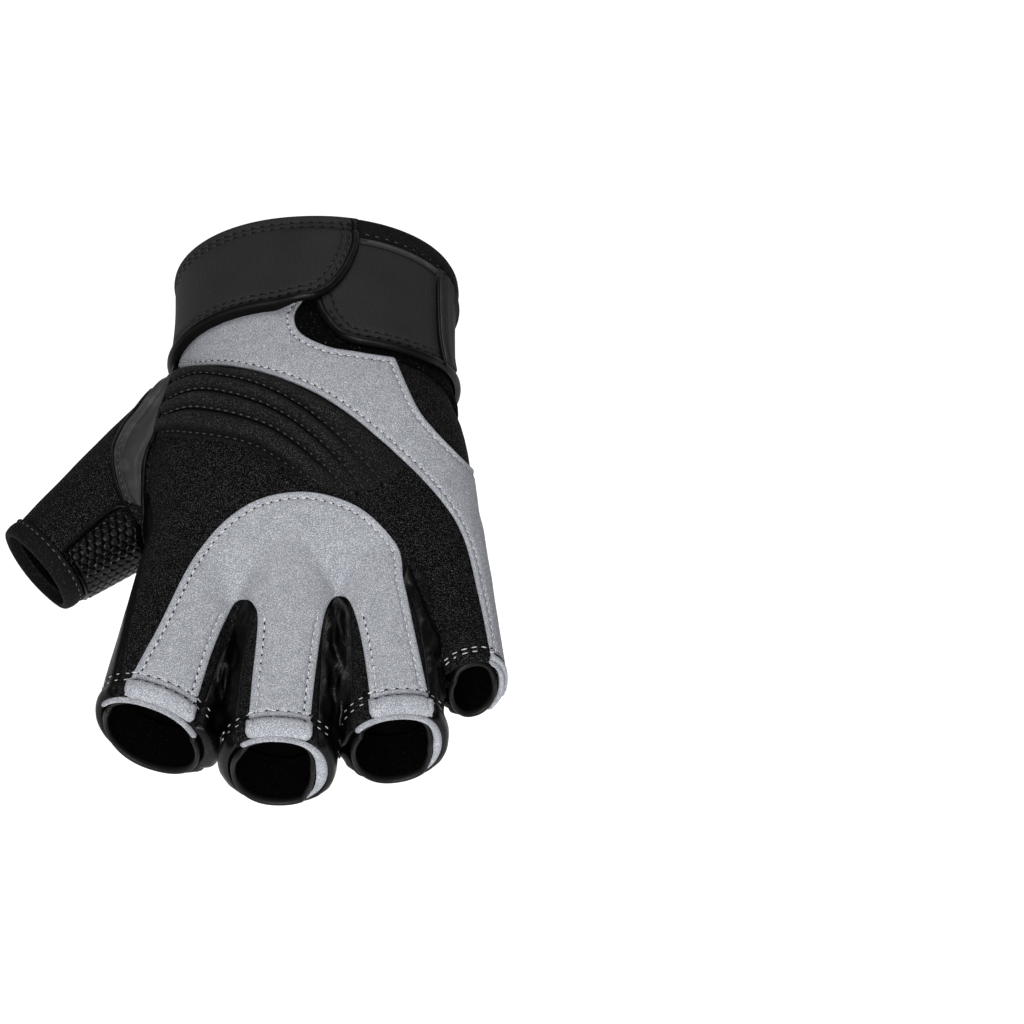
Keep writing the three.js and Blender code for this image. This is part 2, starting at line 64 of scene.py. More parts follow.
# cross-sections of the hand: y, centre x, half width, top, widest height, bottom, roundness, turn, roll
hand = {
    "sections": [
        (0, -0.2, 37.1, 24.2, 1.5, -22.5, 2.05, 4, 6),
        (-18, 0.2, 36.4, 24.4, 0.5, -23.5, 2.08, 4, 5),
        (-34, 0.2, 37, 24.4, -1.5, -25, 2.15, 3.5, 4),
        (-47, 0.2, 39.4, 23.8, -3.2, -26, 2.2, 2.5, 3),
        (-60, 0.3, 43, 22.4, -4.8, -27, 2.3, 2, 2),
        (-84, 1.6, 44.9, 17, -8, -28, 2.4, 0, 0),
        (-104, 3.4, 45.1, 10.5, -10.5, -28.5, 2.4, -2, 0),
        (-116, 0.2, 42.6, 3.5, -12, -27.5, 2.3, -5, 0),
        (-124, -4, 36, -5, -13, -24, 2.2, -6, 0),
    ],
    "spare": 12,  # how far the form runs past an opening before it is cut there
    "neck": 3.2,  # how far it draws back there from a longer finger
    "neckFrom": 0.3,
    "neckTo": 2.3,
    "neckAngle": 70,
    "neckShare": 0.25,
    "longerBeside": {"index": 0, "ring": 180, "little": 180},  # angle of the longer finger
    "digitReach": 45,  # points further back from an opening belong to no digit
    "digitShare": 1.35,  # nor do points further out, as a share of the digit's radius
    "farBack": 60.0,  # distance from an opening that such points are given
    "voxel": 0.95,
    "smoothing": 18,
    "wall": 2.2,
}

# root and tip of each digit's middle line, its half sizes there, and the slant of its opening
digits = {
    "index": {"root": (-25.3, -92, -4), "tip": (-36.8, -154, -15.2),
              "rootHalf": (15.2, 14), "tipHalf": (15.7, 14), "turn": 10, "lean": 8, "swell": 0},
    "middle": {"root": (-2.5, -92, -2), "tip": (-3.8, -165, -16),
               "rootHalf": (13.5, 14), "tipHalf": (14.5, 14), "turn": 0, "lean": 9, "swell": 0},
    "ring": {"root": (19, -92, -3.5), "tip": (25.8, -157.5, -16),
             "rootHalf": (13, 13.5), "tipHalf": (13.8, 13.8), "turn": -2, "lean": 9, "swell": 0},
    "little": {"root": (36.2, -88, -8), "tip": (45.4, -136, -17),
               "rootHalf": (11.2, 12), "tipHalf": (8.8, 10.6), "turn": -4, "lean": 12, "swell": 0},
    "thumb": {"root": (-19.2, -44, -5.5), "tip": (-73.2, -92.1, -18.5),
              "rootHalf": (24.4, 15.5), "tipHalf": (12.3, 11.5), "turn": 0, "lean": 0, "swell": 1.2},
}
fingerNames = ["index", "middle", "ring", "little"]
digitRoundness = 2.2


def splineThrough(points, steps):
    # the same smooth curve as the CAD's, with a number of steps between neighbours
    p = np.array(points, float)
    last = len(p) - 1
    t = np.linspace(0, last, last * steps + 1)
    i = np.minimum(t.astype(int), last - 1)
    w = (t - i)[:, None]
    before, a, b, after = p[np.maximum(i - 1, 0)], p[i], p[i + 1], p[np.minimum(i + 2, last)]
    goingIn, goingOut = (b - before) / 2, (after - a) / 2
    cube = (2 * a - 2 * b + goingIn + goingOut) * w**3
    square = (3 * b - 3 * a - 2 * goingIn - goingOut) * w**2
    return cube + square + goingIn * w + a


def smoothStep(value, low, high):
    t = np.clip((value - low) / (high - low), 0, 1)
    return t * t * (3 - 2 * t)


def dip(distance, middle, width):
    return np.exp(-(((distance - middle) / width) ** 2))


def rounded(angle, half, up, down, roundness):
    c, s = np.cos(angle), np.sin(angle)
    power = 2 / roundness
    high = np.where(s > 0, up, down)
    return half * np.sign(c) * np.abs(c) ** power, high * np.sign(s) * np.abs(s) ** power


handTable = splineThrough(hand["sections"], 16)


def handRow(y):
    # centre x, half width, top, widest height, bottom, roundness, turn and roll at y
    return [np.interp(-y, -handTable[:, 0], handTable[:, k]) for k in range(1, 9)]


def handPoint(y, angle, grow):
    # a point of the hand's form at a distance along it and an angle round it, raised by grow
    y, angle, grow = np.broadcast_arrays(np.asarray(y, float), np.radians(angle), grow)
    x, half, top, middle, bottom, roundness, turn, roll = handRow(y)
    dx, dz = rounded(angle, half + grow, top - middle + grow, middle - bottom + grow, roundness)
    roll = np.radians(roll)
    across = dx * np.cos(roll) - dz * np.sin(roll)
    high = dx * np.sin(roll) + dz * np.cos(roll)
    return np.stack([x + across, y - across * np.tan(np.radians(turn)), middle + high], -1)


def digitAxes(name):
    root = np.array(digits[name]["root"], float)
    along = np.array(digits[name]["tip"], float) - root
    length = np.linalg.norm(along)
    along /= length
    side = np.cross((0, 0, 1), along)
    side /= np.linalg.norm(side)
    return root, along, side, np.cross(along, side), length


def digitHalves(name, taper, grow=0):
    digit = digits[name]
    (rootAcross, rootThrough), (tipAcross, tipThrough) = digit["rootHalf"], digit["tipHalf"]
    swell = digit["swell"] * np.sin(np.pi * np.clip(taper, 0, 1))
    across = rootAcross + (tipAcross - rootAcross) * taper + swell + grow
    return across, rootThrough + (tipThrough - rootThrough) * taper + grow


def digitPoint(name, back, angle, grow):
    # a point of a digit at a distance back from its opening and an angle round it, raised by grow
    root, along, side, up, length = digitAxes(name)
    back, angle, grow = np.broadcast_arrays(np.asarray(back, float), np.radians(angle), grow)
    taper = np.minimum(1 - back / length, 1)
    across, through = digitHalves(name, taper, grow)
    dx, dz = rounded(angle, across, through, through, digitRoundness)
    turn, lean = (np.tan(np.radians(digits[name][key])) for key in ("turn", "lean"))
    reach = length - back + (dx * turn - dz * lean) * taper
    return root + reach[..., None] * along + dx[..., None] * side + dz[..., None] * up


def digitPlace(name, points):
    # distance back from the opening, angle round the digit, and share of its radius
    root, along, side, up, length = digitAxes(name)
    apart = points - root
    reach, dx, dz = apart @ along, apart @ side, apart @ up
    taper = np.clip(reach / length, 0, 1)
    across, through = digitHalves(name, taper)
    turn, lean = (np.tan(np.radians(digits[name][key])) for key in ("turn", "lean"))
    back = length - reach + (dx * turn - dz * lean) * taper
    power = digitRoundness / 2
    c = np.sign(dx) * np.abs(dx / across) ** power
    s = np.sign(dz) * np.abs(dz / through) ** power
    return back, np.degrees(np.arctan2(s, c)), np.hypot(c, s) ** (1 / power)


# the seam between the back and the palm, higher along the index finger's outer side
bodySeam = {
    "slope": 0.13,
    "tilt": 0.1,
    "tiltLength": 100,
    "outerMiddle": -50,
    "outerWidth": 16,
    "outerRise": 13,
    "outerFrom": 60,
    "outerTo": 95,
}


def seamHeight(x, y):
    tilt = bodySeam["tilt"] * x * np.minimum(-y / bodySeam["tiltLength"], 1)
    outer = dip(x, bodySeam["outerMiddle"], bodySeam["outerWidth"])
    rise = bodySeam["outerRise"] * smoothStep(-y, bodySeam["outerFrom"], bodySeam["outerTo"])
    return bodySeam["slope"] * y - tilt + rise * outer


# a sheet is a dictionary of arrays with one row for each point, and its faces


def faceEdges(faces):
    return np.unique(np.sort(faces[:, [0, 1, 1, 2, 2, 0]].reshape(-1, 2), axis=1), axis=0)


def rimEdges(faces):
    # sides that only one face has, in that face's direction
    sides = faces[:, [0, 1, 1, 2, 2, 0]].reshape(-1, 2)
    ordered = np.sort(sides, axis=1)
    key = ordered[:, 0] * (faces.max() + 1) + ordered[:, 1]
    _, first, count = np.unique(key, return_index=True, return_counts=True)
    return sides[first[count == 1]]


def unit(vectors):
    return vectors / np.maximum(np.linalg.norm(vectors, axis=-1, keepdims=True), 1e-12)


def makeSheet(points, faces, normals, **fields):
    sheet = {"points": points, "normals": unit(normals), "faces": faces}
    sheet["fixed"] = np.zeros(len(points))
    sheet["fixed"][np.unique(rimEdges(faces))] = 1
    return sheet | fields


def mixed(values, a, b, share):
    share = share.reshape(-1, *[1] * (values.ndim - 1))
    return values[a] + (values[b] - values[a]) * share


def splitAt(sheet, field, level=0.0, snap=0.18):
    # new points where a field crosses a level, so that the faces part cleanly there
    faces, value = sheet["faces"], sheet[field] - level
    columns = [key for key in sheet if key != "faces"]
    edges = faceEdges(faces)
    cut = edges[value[edges[:, 0]] * value[edges[:, 1]] < 0]
    share = value[cut[:, 0]] / (value[cut[:, 0]] - value[cut[:, 1]])
    who = np.concatenate([cut[share < snap, 0], cut[share > 1 - snap, 1]])
    to = np.concatenate([cut[share < snap, 1], cut[share > 1 - snap, 0]])
    part = np.concatenate([share[share < snap], 1 - share[share > 1 - snap]])
    free = sheet["fixed"][who] < 0.5  # points on rims and on earlier lines stay
    order = np.argsort(-part[free])
    who, to, part = who[free][order], to[free][order], part[free][order]
    made = {}
    for key in columns:
        made[key] = sheet[key].copy()
        made[key][who] = mixed(sheet[key], who, to, part)
    value = value.copy()
    value[who] = 0
    cut = edges[value[edges[:, 0]] * value[edges[:, 1]] < 0]
    a, b = cut.T
    share = value[a] / (value[a] - value[b])
    count = len(value)
    for key in columns:
        made[key] = np.concatenate([made[key], mixed(made[key], a, b, share)])
    value = np.concatenate([value, np.zeros(len(cut))])
    names = a * count + b

    def crossing(p, q):
        return count + np.searchsorted(names, np.minimum(p, q) * count + np.maximum(p, q))

    def turned(chosen, first):
        return np.take_along_axis(chosen, (first[:, None] + np.arange(3)) % 3, axis=1).T

    sign = np.sign(value)[faces]
    split = (sign.min(1) < 0) & (sign.max(1) > 0)
    onLine = split & (sign == 0).any(1)
    apart = split & ~onLine
    z, p, q = turned(faces[onLine], np.argmax(sign[onLine] == 0, axis=1))
    e = crossing(p, q)
    odd = sign[apart] == -np.sign(sign[apart].sum(1))[:, None]
    o, r, s = turned(faces[apart], np.argmax(odd, axis=1))
    f, g = crossing(o, r), crossing(o, s)
    corners = [(z, p, e), (z, e, q), (o, f, g), (f, r, s), (f, s, g)]
    made["faces"] = np.concatenate([faces[~split], *[np.stack(c, 1) for c in corners]])
    made["normals"] = unit(made["normals"])
    onLevel = value == 0
    made["fixed"][onLevel] = 1
    made[field][onLevel] = level
    return made


def splitAtAll(sheet, field, levels):
    for level in levels:
        sheet = splitAt(sheet, field, level)
    return sheet


def faceSide(sheet, field, level=0.0):
    return (sheet[field][sheet["faces"]] - level).mean(1)


def keepFaces(sheet, chosen):
    faces = sheet["faces"][chosen]
    used, inverse = np.unique(faces, return_inverse=True)
    made = {key: value[used] for key, value in sheet.items() if key != "faces"}
    made["faces"] = inverse.reshape(-1, 3)
    made["fixed"] = made["fixed"].copy()
    made["fixed"][np.unique(rimEdges(made["faces"]))] = 1
    return made


def trimTo(sheet, field, side, level=0.0):
    # the part of a sheet above a level of a field, where side is 1, or below it, where it is -1
    sheet = splitAt(sheet, field, level)
    return keepFaces(sheet, faceSide(sheet, field, level) * side > 0)


def finer(sheet):
    # each face in four
    faces = sheet["faces"]
    edges = faceEdges(faces)
    count = len(sheet["points"])
    names = edges[:, 0] * count + edges[:, 1]
    made = {}
    for key, value in sheet.items():
        if key != "faces":
            middle = (value[edges[:, 0]] + value[edges[:, 1]]) / 2
            made[key] = np.concatenate([value, middle])
    a, b, c = faces.T

    def half(p, q):
        return count + np.searchsorted(names, np.minimum(p, q) * count + np.maximum(p, q))

    ab, bc, ca = half(a, b), half(b, c), half(c, a)
    parts = [(a, ab, ca), (ab, b, bc), (ca, bc, c), (ab, bc, ca)]
    made["faces"] = np.concatenate([np.stack(part, 1) for part in parts])
    made["normals"] = unit(made["normals"])
    made["fixed"] = np.zeros(len(made["points"]))
    made["fixed"][np.unique(rimEdges(made["faces"]))] = 1
    return made


def distanceTo(points, targets):
    tree = KDTree(len(targets))
    for i, target in enumerate(targets):
        tree.insert(target, i)
    tree.balance()
    return np.array([tree.find(p)[2] for p in points])


def rimSamples(sheet, chosen=None):
    # places along the rim, close together
    edges = rimEdges(sheet["faces"])
    if chosen is not None:
        edges = edges[chosen[edges].all(1)]
    a, b = sheet["points"][edges[:, 0]], sheet["points"][edges[:, 1]]
    return np.concatenate([a + (b - a) * w for w in (0, 0.25, 0.5, 0.75)])


def shellOf(sheet, top, bottom):
    # a closed solid between two heights over a sheet
    points, normals, faces = sheet["points"], sheet["normals"], sheet["faces"]
    count = len(points)
    a, b = rimEdges(faces).T
    both = [points + normals * top[:, None], points + normals * bottom[:, None]]
    walls = [np.stack([b, a, a + count], 1), np.stack([b, a + count, b + count], 1)]
    return np.concatenate(both), np.concatenate([faces, faces[:, ::-1] + count, *walls])


def outward(points, faces):
    # a closed skin with its faces turned outwards
    triangles = np.concatenate([faces[:, [0, k, k + 1]] for k in range(1, faces.shape[1] - 1)])
    a, b, c = points[triangles].transpose(1, 0, 2)
    return faces if (a * np.cross(b, c)).sum() > 0 else faces[:, ::-1]


# a mesh with more faces than this is thinned, and keeps this share of them
dense = {"faces": 100000, "kept": 0.65}


def thin(piece):
    # the same shape with fewer faces where it bends little, such as on its inner side
    fewer = piece.modifiers.new("fewer", "DECIMATE")
    fewer.ratio = dense["kept"]
    thinned = bpy.data.meshes.new_from_object(piece.evaluated_get(bpy.context.evaluated_depsgraph_get()))
    piece.modifiers.remove(fewer)
    piece.data = thinned


def meshObject(name, points, faces, material, uv=None, sharp=50):
    faces = outward(points, faces)
    mesh = bpy.data.meshes.new(name)
    size = faces.shape[1]
    mesh.vertices.add(len(points))
    mesh.vertices.foreach_set("co", (points * mm).astype(np.float32).ravel())
    mesh.loops.add(faces.size)
    mesh.loops.foreach_set("vertex_index", faces.astype(np.int32).ravel())
    mesh.polygons.add(len(faces))
    mesh.polygons.foreach_set("loop_start", np.arange(0, faces.size, size, dtype=np.int32))
    if uv is not None:
        layer = mesh.uv_layers.new(name="UVMap")
        layer.data.foreach_set("uv", (uv[faces.ravel()] * mm).astype(np.float32).ravel())
    mesh.update(calc_edges=True)
    mesh.validate()
    made = bpy.data.objects.new(name, mesh)
    bpy.context.scene.collection.objects.link(made)
    if len(faces) > dense["faces"]:
        thin(made)
    made.data.shade_smooth()
    made.data.set_sharp_from_angle(angle=math.radians(sharp))
    made.data.materials.append(material)
    return made


def place(piece, slot, *nodes):
    # the piece rides on the glove and stands for its CAD nodes
    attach(piece, "root")
    if nodes:
        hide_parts(*nodes)
    triangles = sum(len(face.vertices) - 2 for face in piece.data.polygons)
    print(f"  {piece.name}: {triangles} triangles")
    return piece


def buildShell(name, sheet, top, bottom, material, slot, *nodes, uv=None):
    # a piece between two heights over a sheet
    points, faces = shellOf(sheet, top, np.broadcast_to(bottom, top.shape))
    return place(meshObject(name, points, faces, material, uv), slot, *nodes)


def ringFaces(rings, around, loop):
    # quads between neighbouring rings of points, each ring closed where loop is true
    row = np.arange(rings - 1)[:, None] * around
    column = np.arange(around if loop else around - 1)
    after = (column + 1) % around
    quads = np.stack([row + column, row + after, row + around + after, row + around + column], -1)
    return quads.reshape(-1, 4)


def gridSheet(points, normals, **fields):
    # a sheet from a net of points in rows and columns
    quads = ringFaces(points.shape[0], points.shape[1], False)
    faces = np.concatenate([quads[:, [0, 1, 2]], quads[:, [0, 2, 3]]])
    flat, ups = points.reshape(-1, 3), normals.reshape(-1, 3)
    a, b, c = flat[faces[len(faces) // 4]]
    if np.cross(b - a, c - a) @ ups[faces[len(faces) // 4, 0]] < 0:
        faces = faces[:, ::-1]
    shape = points.shape[:2]
    spread = {key: np.array(np.broadcast_to(value, shape)).ravel() for key, value in fields.items()}
    return makeSheet(flat, faces, ups, **spread)


def cornered(across, along, corner):
    # distance from two edges that meet in a rounded corner
    inCorner = (across < corner) & (along < corner)
    bend = corner - np.hypot(corner - across, corner - along)
    return np.where(inCorner, bend, np.minimum(across, along))


def closedBand(name, rings, material):
    # a band from closed sections that go round an opening
    count, around = rings.shape[:2]
    quads = ringFaces(count + 1, around, True) % (count * around)
    return meshObject(name, rings.reshape(-1, 3), quads, material)


def outlineOf(stretches, spacing=1.0):
    # a closed outline of smooth stretches that meet in corners
    made = []
    for stretch in stretches:
        long = np.linalg.norm(np.diff(np.array(stretch, float), axis=0), axis=1).max()
        line = splineThrough(stretch, max(2, int(long / spacing)))
        made.append(line[:-1])
    return np.concatenate(made)


def distanceToLine(places, line, closed=True):
    # distance from places in a plane to a line, below zero inside a closed one
    best = np.full(len(places), 1e9)
    inside = np.zeros(len(places), bool)
    ends = np.roll(line, -1, axis=0) if closed else line[1:]
    x, y = places.T
    for (ax, ay), (bx, by) in zip(line, ends):
        ex, ey = bx - ax, by - ay
        t = np.clip(((x - ax) * ex + (y - ay) * ey) / max(ex * ex + ey * ey, 1e-12), 0, 1)
        best = np.minimum(best, np.hypot(x - ax - t * ex, y - ay - t * ey))
        if closed and ay != by:
            level = (ay > y) != (by > y)
            inside ^= level & (x < ex * (y - ay) / ey + ax)
    return np.where(inside, -best, best) if closed else best


# finishes


def addNode(tree, kind, **settings):
    node = tree.nodes.new(kind)
    for key, value in settings.items():
        setattr(node, key, value)
    return node


def feed(tree, socket, value):
    # a socket takes a plain value or another node's output
    if isinstance(value, bpy.types.NodeSocket):
        tree.links.new(value, socket)
    else:
        socket.default_value = value


def wired(tree, kind, feeds, **settings):
    # the outputs of a node whose sockets take plain values or other nodes' outputs
    node = addNode(tree, kind, **settings)
    for key, value in feeds.items():
        feed(tree, node.inputs[key], value)
    return node.outputs


def calc(tree, operation, *values):
    node = addNode(tree, "ShaderNodeMath", operation=operation)
    for socket, value in zip(node.inputs, values):
        feed(tree, socket, value)
    return node.outputs[0]


def ramp(tree, value, low, high, bottom=0.0, top=1.0):
    node = addNode(tree, "ShaderNodeMapRange", interpolation_type="SMOOTHSTEP")
    for socket, given in zip(node.inputs, (value, low, high, bottom, top)):
        feed(tree, socket, given)
    return node.outputs[0]


def mixColours(tree, share, first, second):
    return wired(tree, "ShaderNodeMix", {0: share, 6: first, 7: second}, data_type="RGBA")[2]


def cloudy(tree, where, scale, detail=2.0, rough=0.5):
    feeds = {"Vector": where, "Scale": scale, "Detail": detail, "Roughness": rough}
    return wired(tree, "ShaderNodeTexNoise", feeds)["Fac"]


def bumped(tree, height, depth):
    return wired(tree, "ShaderNodeBump", {"Height": height, "Distance": depth})["Normal"]


def makeGroup(name, takes, gives):
    tree = bpy.data.node_groups.new(name, "ShaderNodeTree")
    kinds = {"colour": "NodeSocketColor", "value": "NodeSocketFloat", "vector": "NodeSocketVector"}
    for label, kind in takes.items():
        tree.interface.new_socket(label, in_out="INPUT", socket_type=kinds[kind])
    for label, kind in gives.items():
        tree.interface.new_socket(label, in_out="OUTPUT", socket_type=kinds[kind])
    return tree, tree.nodes.new("NodeGroupInput").outputs, tree.nodes.new("NodeGroupOutput").inputs


def makeNapGroup():
    # short brushed fibres: bright tips over a darker ground, with soft patches
    tree, take, give = makeGroup(
        "nap",
        {"Where": "vector", "Fibre Size": "value", "Ground": "colour", "Tips": "colour",
         "Tip Share": "value", "Blend": "value", "Patchiness": "value", "Depth": "value"},
        {"Colour": "colour", "Roughness": "value", "Normal": "vector"},
    )
    scale = calc(tree, "DIVIDE", 1.0, take["Fibre Size"])
    fine = cloudy(tree, take["Where"], scale, 3.0, 0.62)
    finer = cloudy(tree, take["Where"], calc(tree, "MULTIPLY", scale, 2.3), 1.0)
    patch = cloudy(tree, take["Where"], calc(tree, "MULTIPLY", scale, 0.09), 2.0)
    edge = calc(tree, "SUBTRACT", 0.72, calc(tree, "MULTIPLY", take["Tip Share"], 0.4))
    tips = ramp(tree, fine, edge, calc(tree, "ADD", edge, take["Blend"]))
    swing = calc(tree, "MULTIPLY", calc(tree, "SUBTRACT", patch, 0.5), take["Patchiness"])
    share = ramp(tree, calc(tree, "ADD", tips, swing), 0.0, 1.0)
    feed(tree, give["Colour"], mixColours(tree, share, take["Ground"], take["Tips"]))
    feed(tree, give["Roughness"], ramp(tree, fine, 0.3, 0.7, 0.98, 0.8))
    height = calc(tree, "ADD", fine, calc(tree, "MULTIPLY", finer, 0.4))
    feed(tree, give["Normal"], bumped(tree, height, take["Depth"]))
    return tree


def makeHideGroup():
    # leather: pores and fine creases, with polish on the high places; its lighter patches are wear, and on
    # the wrinkled leather between the fingers also painted sheen
    tree, take, give = makeGroup(
        "hide",
        {"Where": "vector", "Pore Size": "value", "Ground": "colour", "Wear And Sheen": "colour",
         "Gloss": "value", "Depth": "value"},
        {"Colour": "colour", "Roughness": "value", "Normal": "vector"},
    )
    scale = calc(tree, "DIVIDE", 1.0, take["Pore Size"])
    feeds = {"Vector": take["Where"], "Scale": scale}
    cells = wired(tree, "ShaderNodeTexVoronoi", feeds, feature="DISTANCE_TO_EDGE")
    pores = ramp(tree, cells["Distance"], 0.0, 0.22)
    broad = cloudy(tree, take["Where"], calc(tree, "MULTIPLY", scale, 0.12), 3.0, 0.55)
    fine = cloudy(tree, take["Where"], calc(tree, "MULTIPLY", scale, 1.7), 2.0)
    # lighter, glossier patches at random: wear, and painted sheen where this colour is set well above the
    # ground
    wearAndSheen = ramp(tree, broad, 0.45, 0.75)
    feed(tree, give["Colour"], mixColours(tree, wearAndSheen, take["Ground"], take["Wear And Sheen"]))
    sheen = calc(tree, "SUBTRACT", take["Gloss"], calc(tree, "MULTIPLY", wearAndSheen, 0.06))
    feed(tree, give["Roughness"], calc(tree, "ADD", sheen, calc(tree, "MULTIPLY", fine, 0.1)))
    height = calc(tree, "ADD", calc(tree, "MULTIPLY", pores, 0.6), calc(tree, "MULTIPLY", fine, 0.5))
    feed(tree, give["Normal"], bumped(tree, height, take["Depth"]))
    return tree


def makeWeaveGroup():
    # close woven cloth: two sets of threads that pass over and under each other
    tree, take, give = makeGroup(
        "weave",
        {"Where": "vector", "Thread": "value", "Ground": "colour", "Raised": "colour", "Depth": "value"},
        {"Colour": "colour", "Roughness": "value", "Normal": "vector"},
    )
    parts = wired(tree, "ShaderNodeSeparateXYZ", {0: take["Where"]})
    turn = calc(tree, "DIVIDE", math.pi, take["Thread"])
    u = calc(tree, "SINE", calc(tree, "MULTIPLY", parts[0], turn))
    v = calc(tree, "SINE", calc(tree, "MULTIPLY", parts[1], turn))
    over = calc(tree, "MULTIPLY", u, v)
    cross = calc(tree, "ABSOLUTE", over)
    scale = calc(tree, "DIVIDE", 1.0, take["Thread"])
    uneven = cloudy(tree, take["Where"], calc(tree, "MULTIPLY", scale, 0.7), 3.0)
    broad = cloudy(tree, take["Where"], calc(tree, "MULTIPLY", scale, 0.03), 3.0)
    height = calc(tree, "ADD", cross, calc(tree, "MULTIPLY", uneven, 0.8))
    share = calc(tree, "MULTIPLY", ramp(tree, height, 0.35, 1.5), ramp(tree, broad, 0.25, 0.75, 0.55, 1.0))
    feed(tree, give["Colour"], mixColours(tree, share, take["Ground"], take["Raised"]))
    feed(tree, give["Roughness"], ramp(tree, height, 0.3, 1.5, 0.78, 0.6))
    feed(tree, give["Normal"], bumped(tree, height, take["Depth"]))
    return tree


napGroup, hideGroup, weaveGroup = makeNapGroup(), makeHideGroup(), makeWeaveGroup()


def makeFinish(name, group, specular, coordinates="Object", **given):
    # a material of one shared group with its own values
    material = bpy.data.materials.new(name)
    material.use_nodes = True
    tree = material.node_tree
    shader = tree.nodes["Principled BSDF"]
    where = addNode(tree, "ShaderNodeTexCoord")
    pattern = addNode(tree, "ShaderNodeGroup", node_tree=group)
    tree.links.new(where.outputs[coordinates], pattern.inputs["Where"])
    for label, value in given.items():
        pattern.inputs[label].default_value = value
    tree.links.new(pattern.outputs["Colour"], shader.inputs["Base Color"])
    tree.links.new(pattern.outputs["Roughness"], shader.inputs["Roughness"])
    tree.links.new(pattern.outputs["Normal"], shader.inputs["Normal"])
    shader.inputs["Specular IOR Level"].default_value = specular
    return material


def grey(value, warm=0.0):
    return (value * (1 + warm), value, value * (1 - warm), 1)


def napFinish(name, specular, fibre, ground, tips, share, blend, patchiness, depth):
    given = {"Fibre Size": fibre, "Ground": ground, "Tips": tips, "Tip Share": share,
             "Blend": blend, "Patchiness": patchiness, "Depth": depth}
    return makeFinish(name, napGroup, specular, **given)


def hideFinish(name, specular, pores, ground, wearAndSheen, gloss, depth):
    given = {"Pore Size": pores, "Ground": grey(ground), "Wear And Sheen": grey(wearAndSheen), "Gloss": gloss, "Depth": depth}
    return makeFinish(name, hideGroup, specular, **given)


# fibres, pores, threads and depths are in metres
fleece = napFinish(
    "blackFleece", specular=0.04, fibre=0.00028, ground=grey(0.0005), tips=grey(0.068, -0.01),
    share=0.64, blend=0.3, patchiness=0.06, depth=0.00022,
)
suede = napFinish(
    "greySuede", specular=0.08, fibre=0.00026, ground=(0.165, 0.174, 0.197, 1), tips=(0.495, 0.5, 0.521, 1),
    share=0.85, blend=0.36, patchiness=0.3, depth=0.00008,
)
loopCloth = napFinish(
    "blackLoops", specular=0.04, fibre=0.0006, ground=grey(0.0006), tips=grey(0.06),
    share=0.4, blend=0.25, patchiness=0.2, depth=0.0008,
)
liningCloth = napFinish(
    "blackLining", specular=0.02, fibre=0.00045, ground=grey(0.0006), tips=grey(0.012),
    share=0.45, blend=0.25, patchiness=0.2, depth=0.0004,
)
rimCloth = hideFinish(
    "liningRim", specular=0.12, pores=0.0006, ground=0.0035, wearAndSheen=0.006, gloss=0.42, depth=0.00003,
)
smoothLeather = hideFinish(
    "blackLeather", specular=0.08, pores=0.0009, ground=0.0008, wearAndSheen=0.0018, gloss=0.38, depth=0.00005,
)
# its lighter patches are partly wear and partly painted sheen, soft highlight patches over the folds
foldLeather = hideFinish(
    "wrinkledLeather", specular=0.12, pores=0.0006, ground=0.0002, wearAndSheen=0.003, gloss=0.26, depth=0.00004,
)
softLeather = hideFinish(
    "charcoalLeather", specular=0.16, pores=0.0007, ground=0.024, wearAndSheen=0.042, gloss=0.45, depth=0.00004,
)
patchLeather = hideFinish(
    "embossedLeather", specular=0.12, pores=0.0006, ground=0.0005, wearAndSheen=0.0012, gloss=0.27, depth=0.00003,
)
pipingCloth = hideFinish(
    "strapPiping", specular=0.1, pores=0.0005, ground=0.0012, wearAndSheen=0.0025, gloss=0.34, depth=0.00003,
)
strapCloth = makeFinish(
    "strapCloth", weaveGroup, 0.06, "UV",
    Thread=0.0005, Ground=grey(0.012), Raised=grey(0.03), Depth=0.00003,
)
hemCloth = napFinish(
    "hemCloth", specular=0.08, fibre=0.0005, ground=grey(0.003), tips=grey(0.016),
    share=0.6, blend=0.3, patchiness=0.2, depth=0.00008,
)
padCloth = napFinish(
    "padCloth", specular=0.12, fibre=0.0003, ground=grey(0.0015), tips=grey(0.058),
    share=0.7, blend=0.36, patchiness=0.08, depth=0.00012,
)


def paintGrooveShade(material):
    # painted shade: the base colour is darkened in the grooves where the ribs are sewn down and lightened a
    # little on their crests, fading out where the ribs flatten; the mesh's map holds rib and share
    tree = material.node_tree
    shader = tree.nodes["Principled BSDF"]
    where = addNode(tree, "ShaderNodeTexCoord")
    parts = wired(tree, "ShaderNodeSeparateXYZ", {0: where.outputs["UV"]})
    crest = calc(tree, "ABSOLUTE", calc(tree, "SINE", calc(tree, "MULTIPLY", parts[0], math.pi)))
    lightened = ramp(tree, crest, 0.15, 0.95, 0.12, 1.1)
    flat = ramp(tree, parts[1], 0.65, 0.95)
    shaded = calc(tree, "MULTIPLY", lightened, calc(tree, "SUBTRACT", 1.0, flat))
    level = calc(tree, "ADD", shaded, calc(tree, "MULTIPLY", flat, 0.7))
    plain = shader.inputs["Base Color"].links[0].from_socket
    scaled = wired(tree, "ShaderNodeVectorMath", {0: plain, "Scale": level}, operation="SCALE")
    feed(tree, shader.inputs["Base Color"], scaled[0])


# the pad's cloth gets painted groove shade and lighter crests
paintGrooveShade(padCloth)


def plainThread(name, shade, tipShare):
    return napFinish(
        name, specular=0.2, fibre=0.0003, ground=grey(shade * 0.7), tips=grey(shade * 1.25),
        share=tipShare, blend=0.2, patchiness=0.2, depth=0.00003,
    )


greyThread = plainThread("greyThread", 0.6, 0.6)
paleThread = plainThread("paleThread", 0.45, 0.6)
blackThread = plainThread("blackThread", 0.1, 0.5)
padThread = plainThread("padThread", 0.065, 0.5)
strapThread = plainThread("strapThread", 0.05, 0.5)
# the dark beads between the stitches are painted shade for the needle holes
holeShade = plainThread("stitchHoleShade", 0.0006, 0.2)
print("finishes made")


# the smooth form that all the panels are cut from


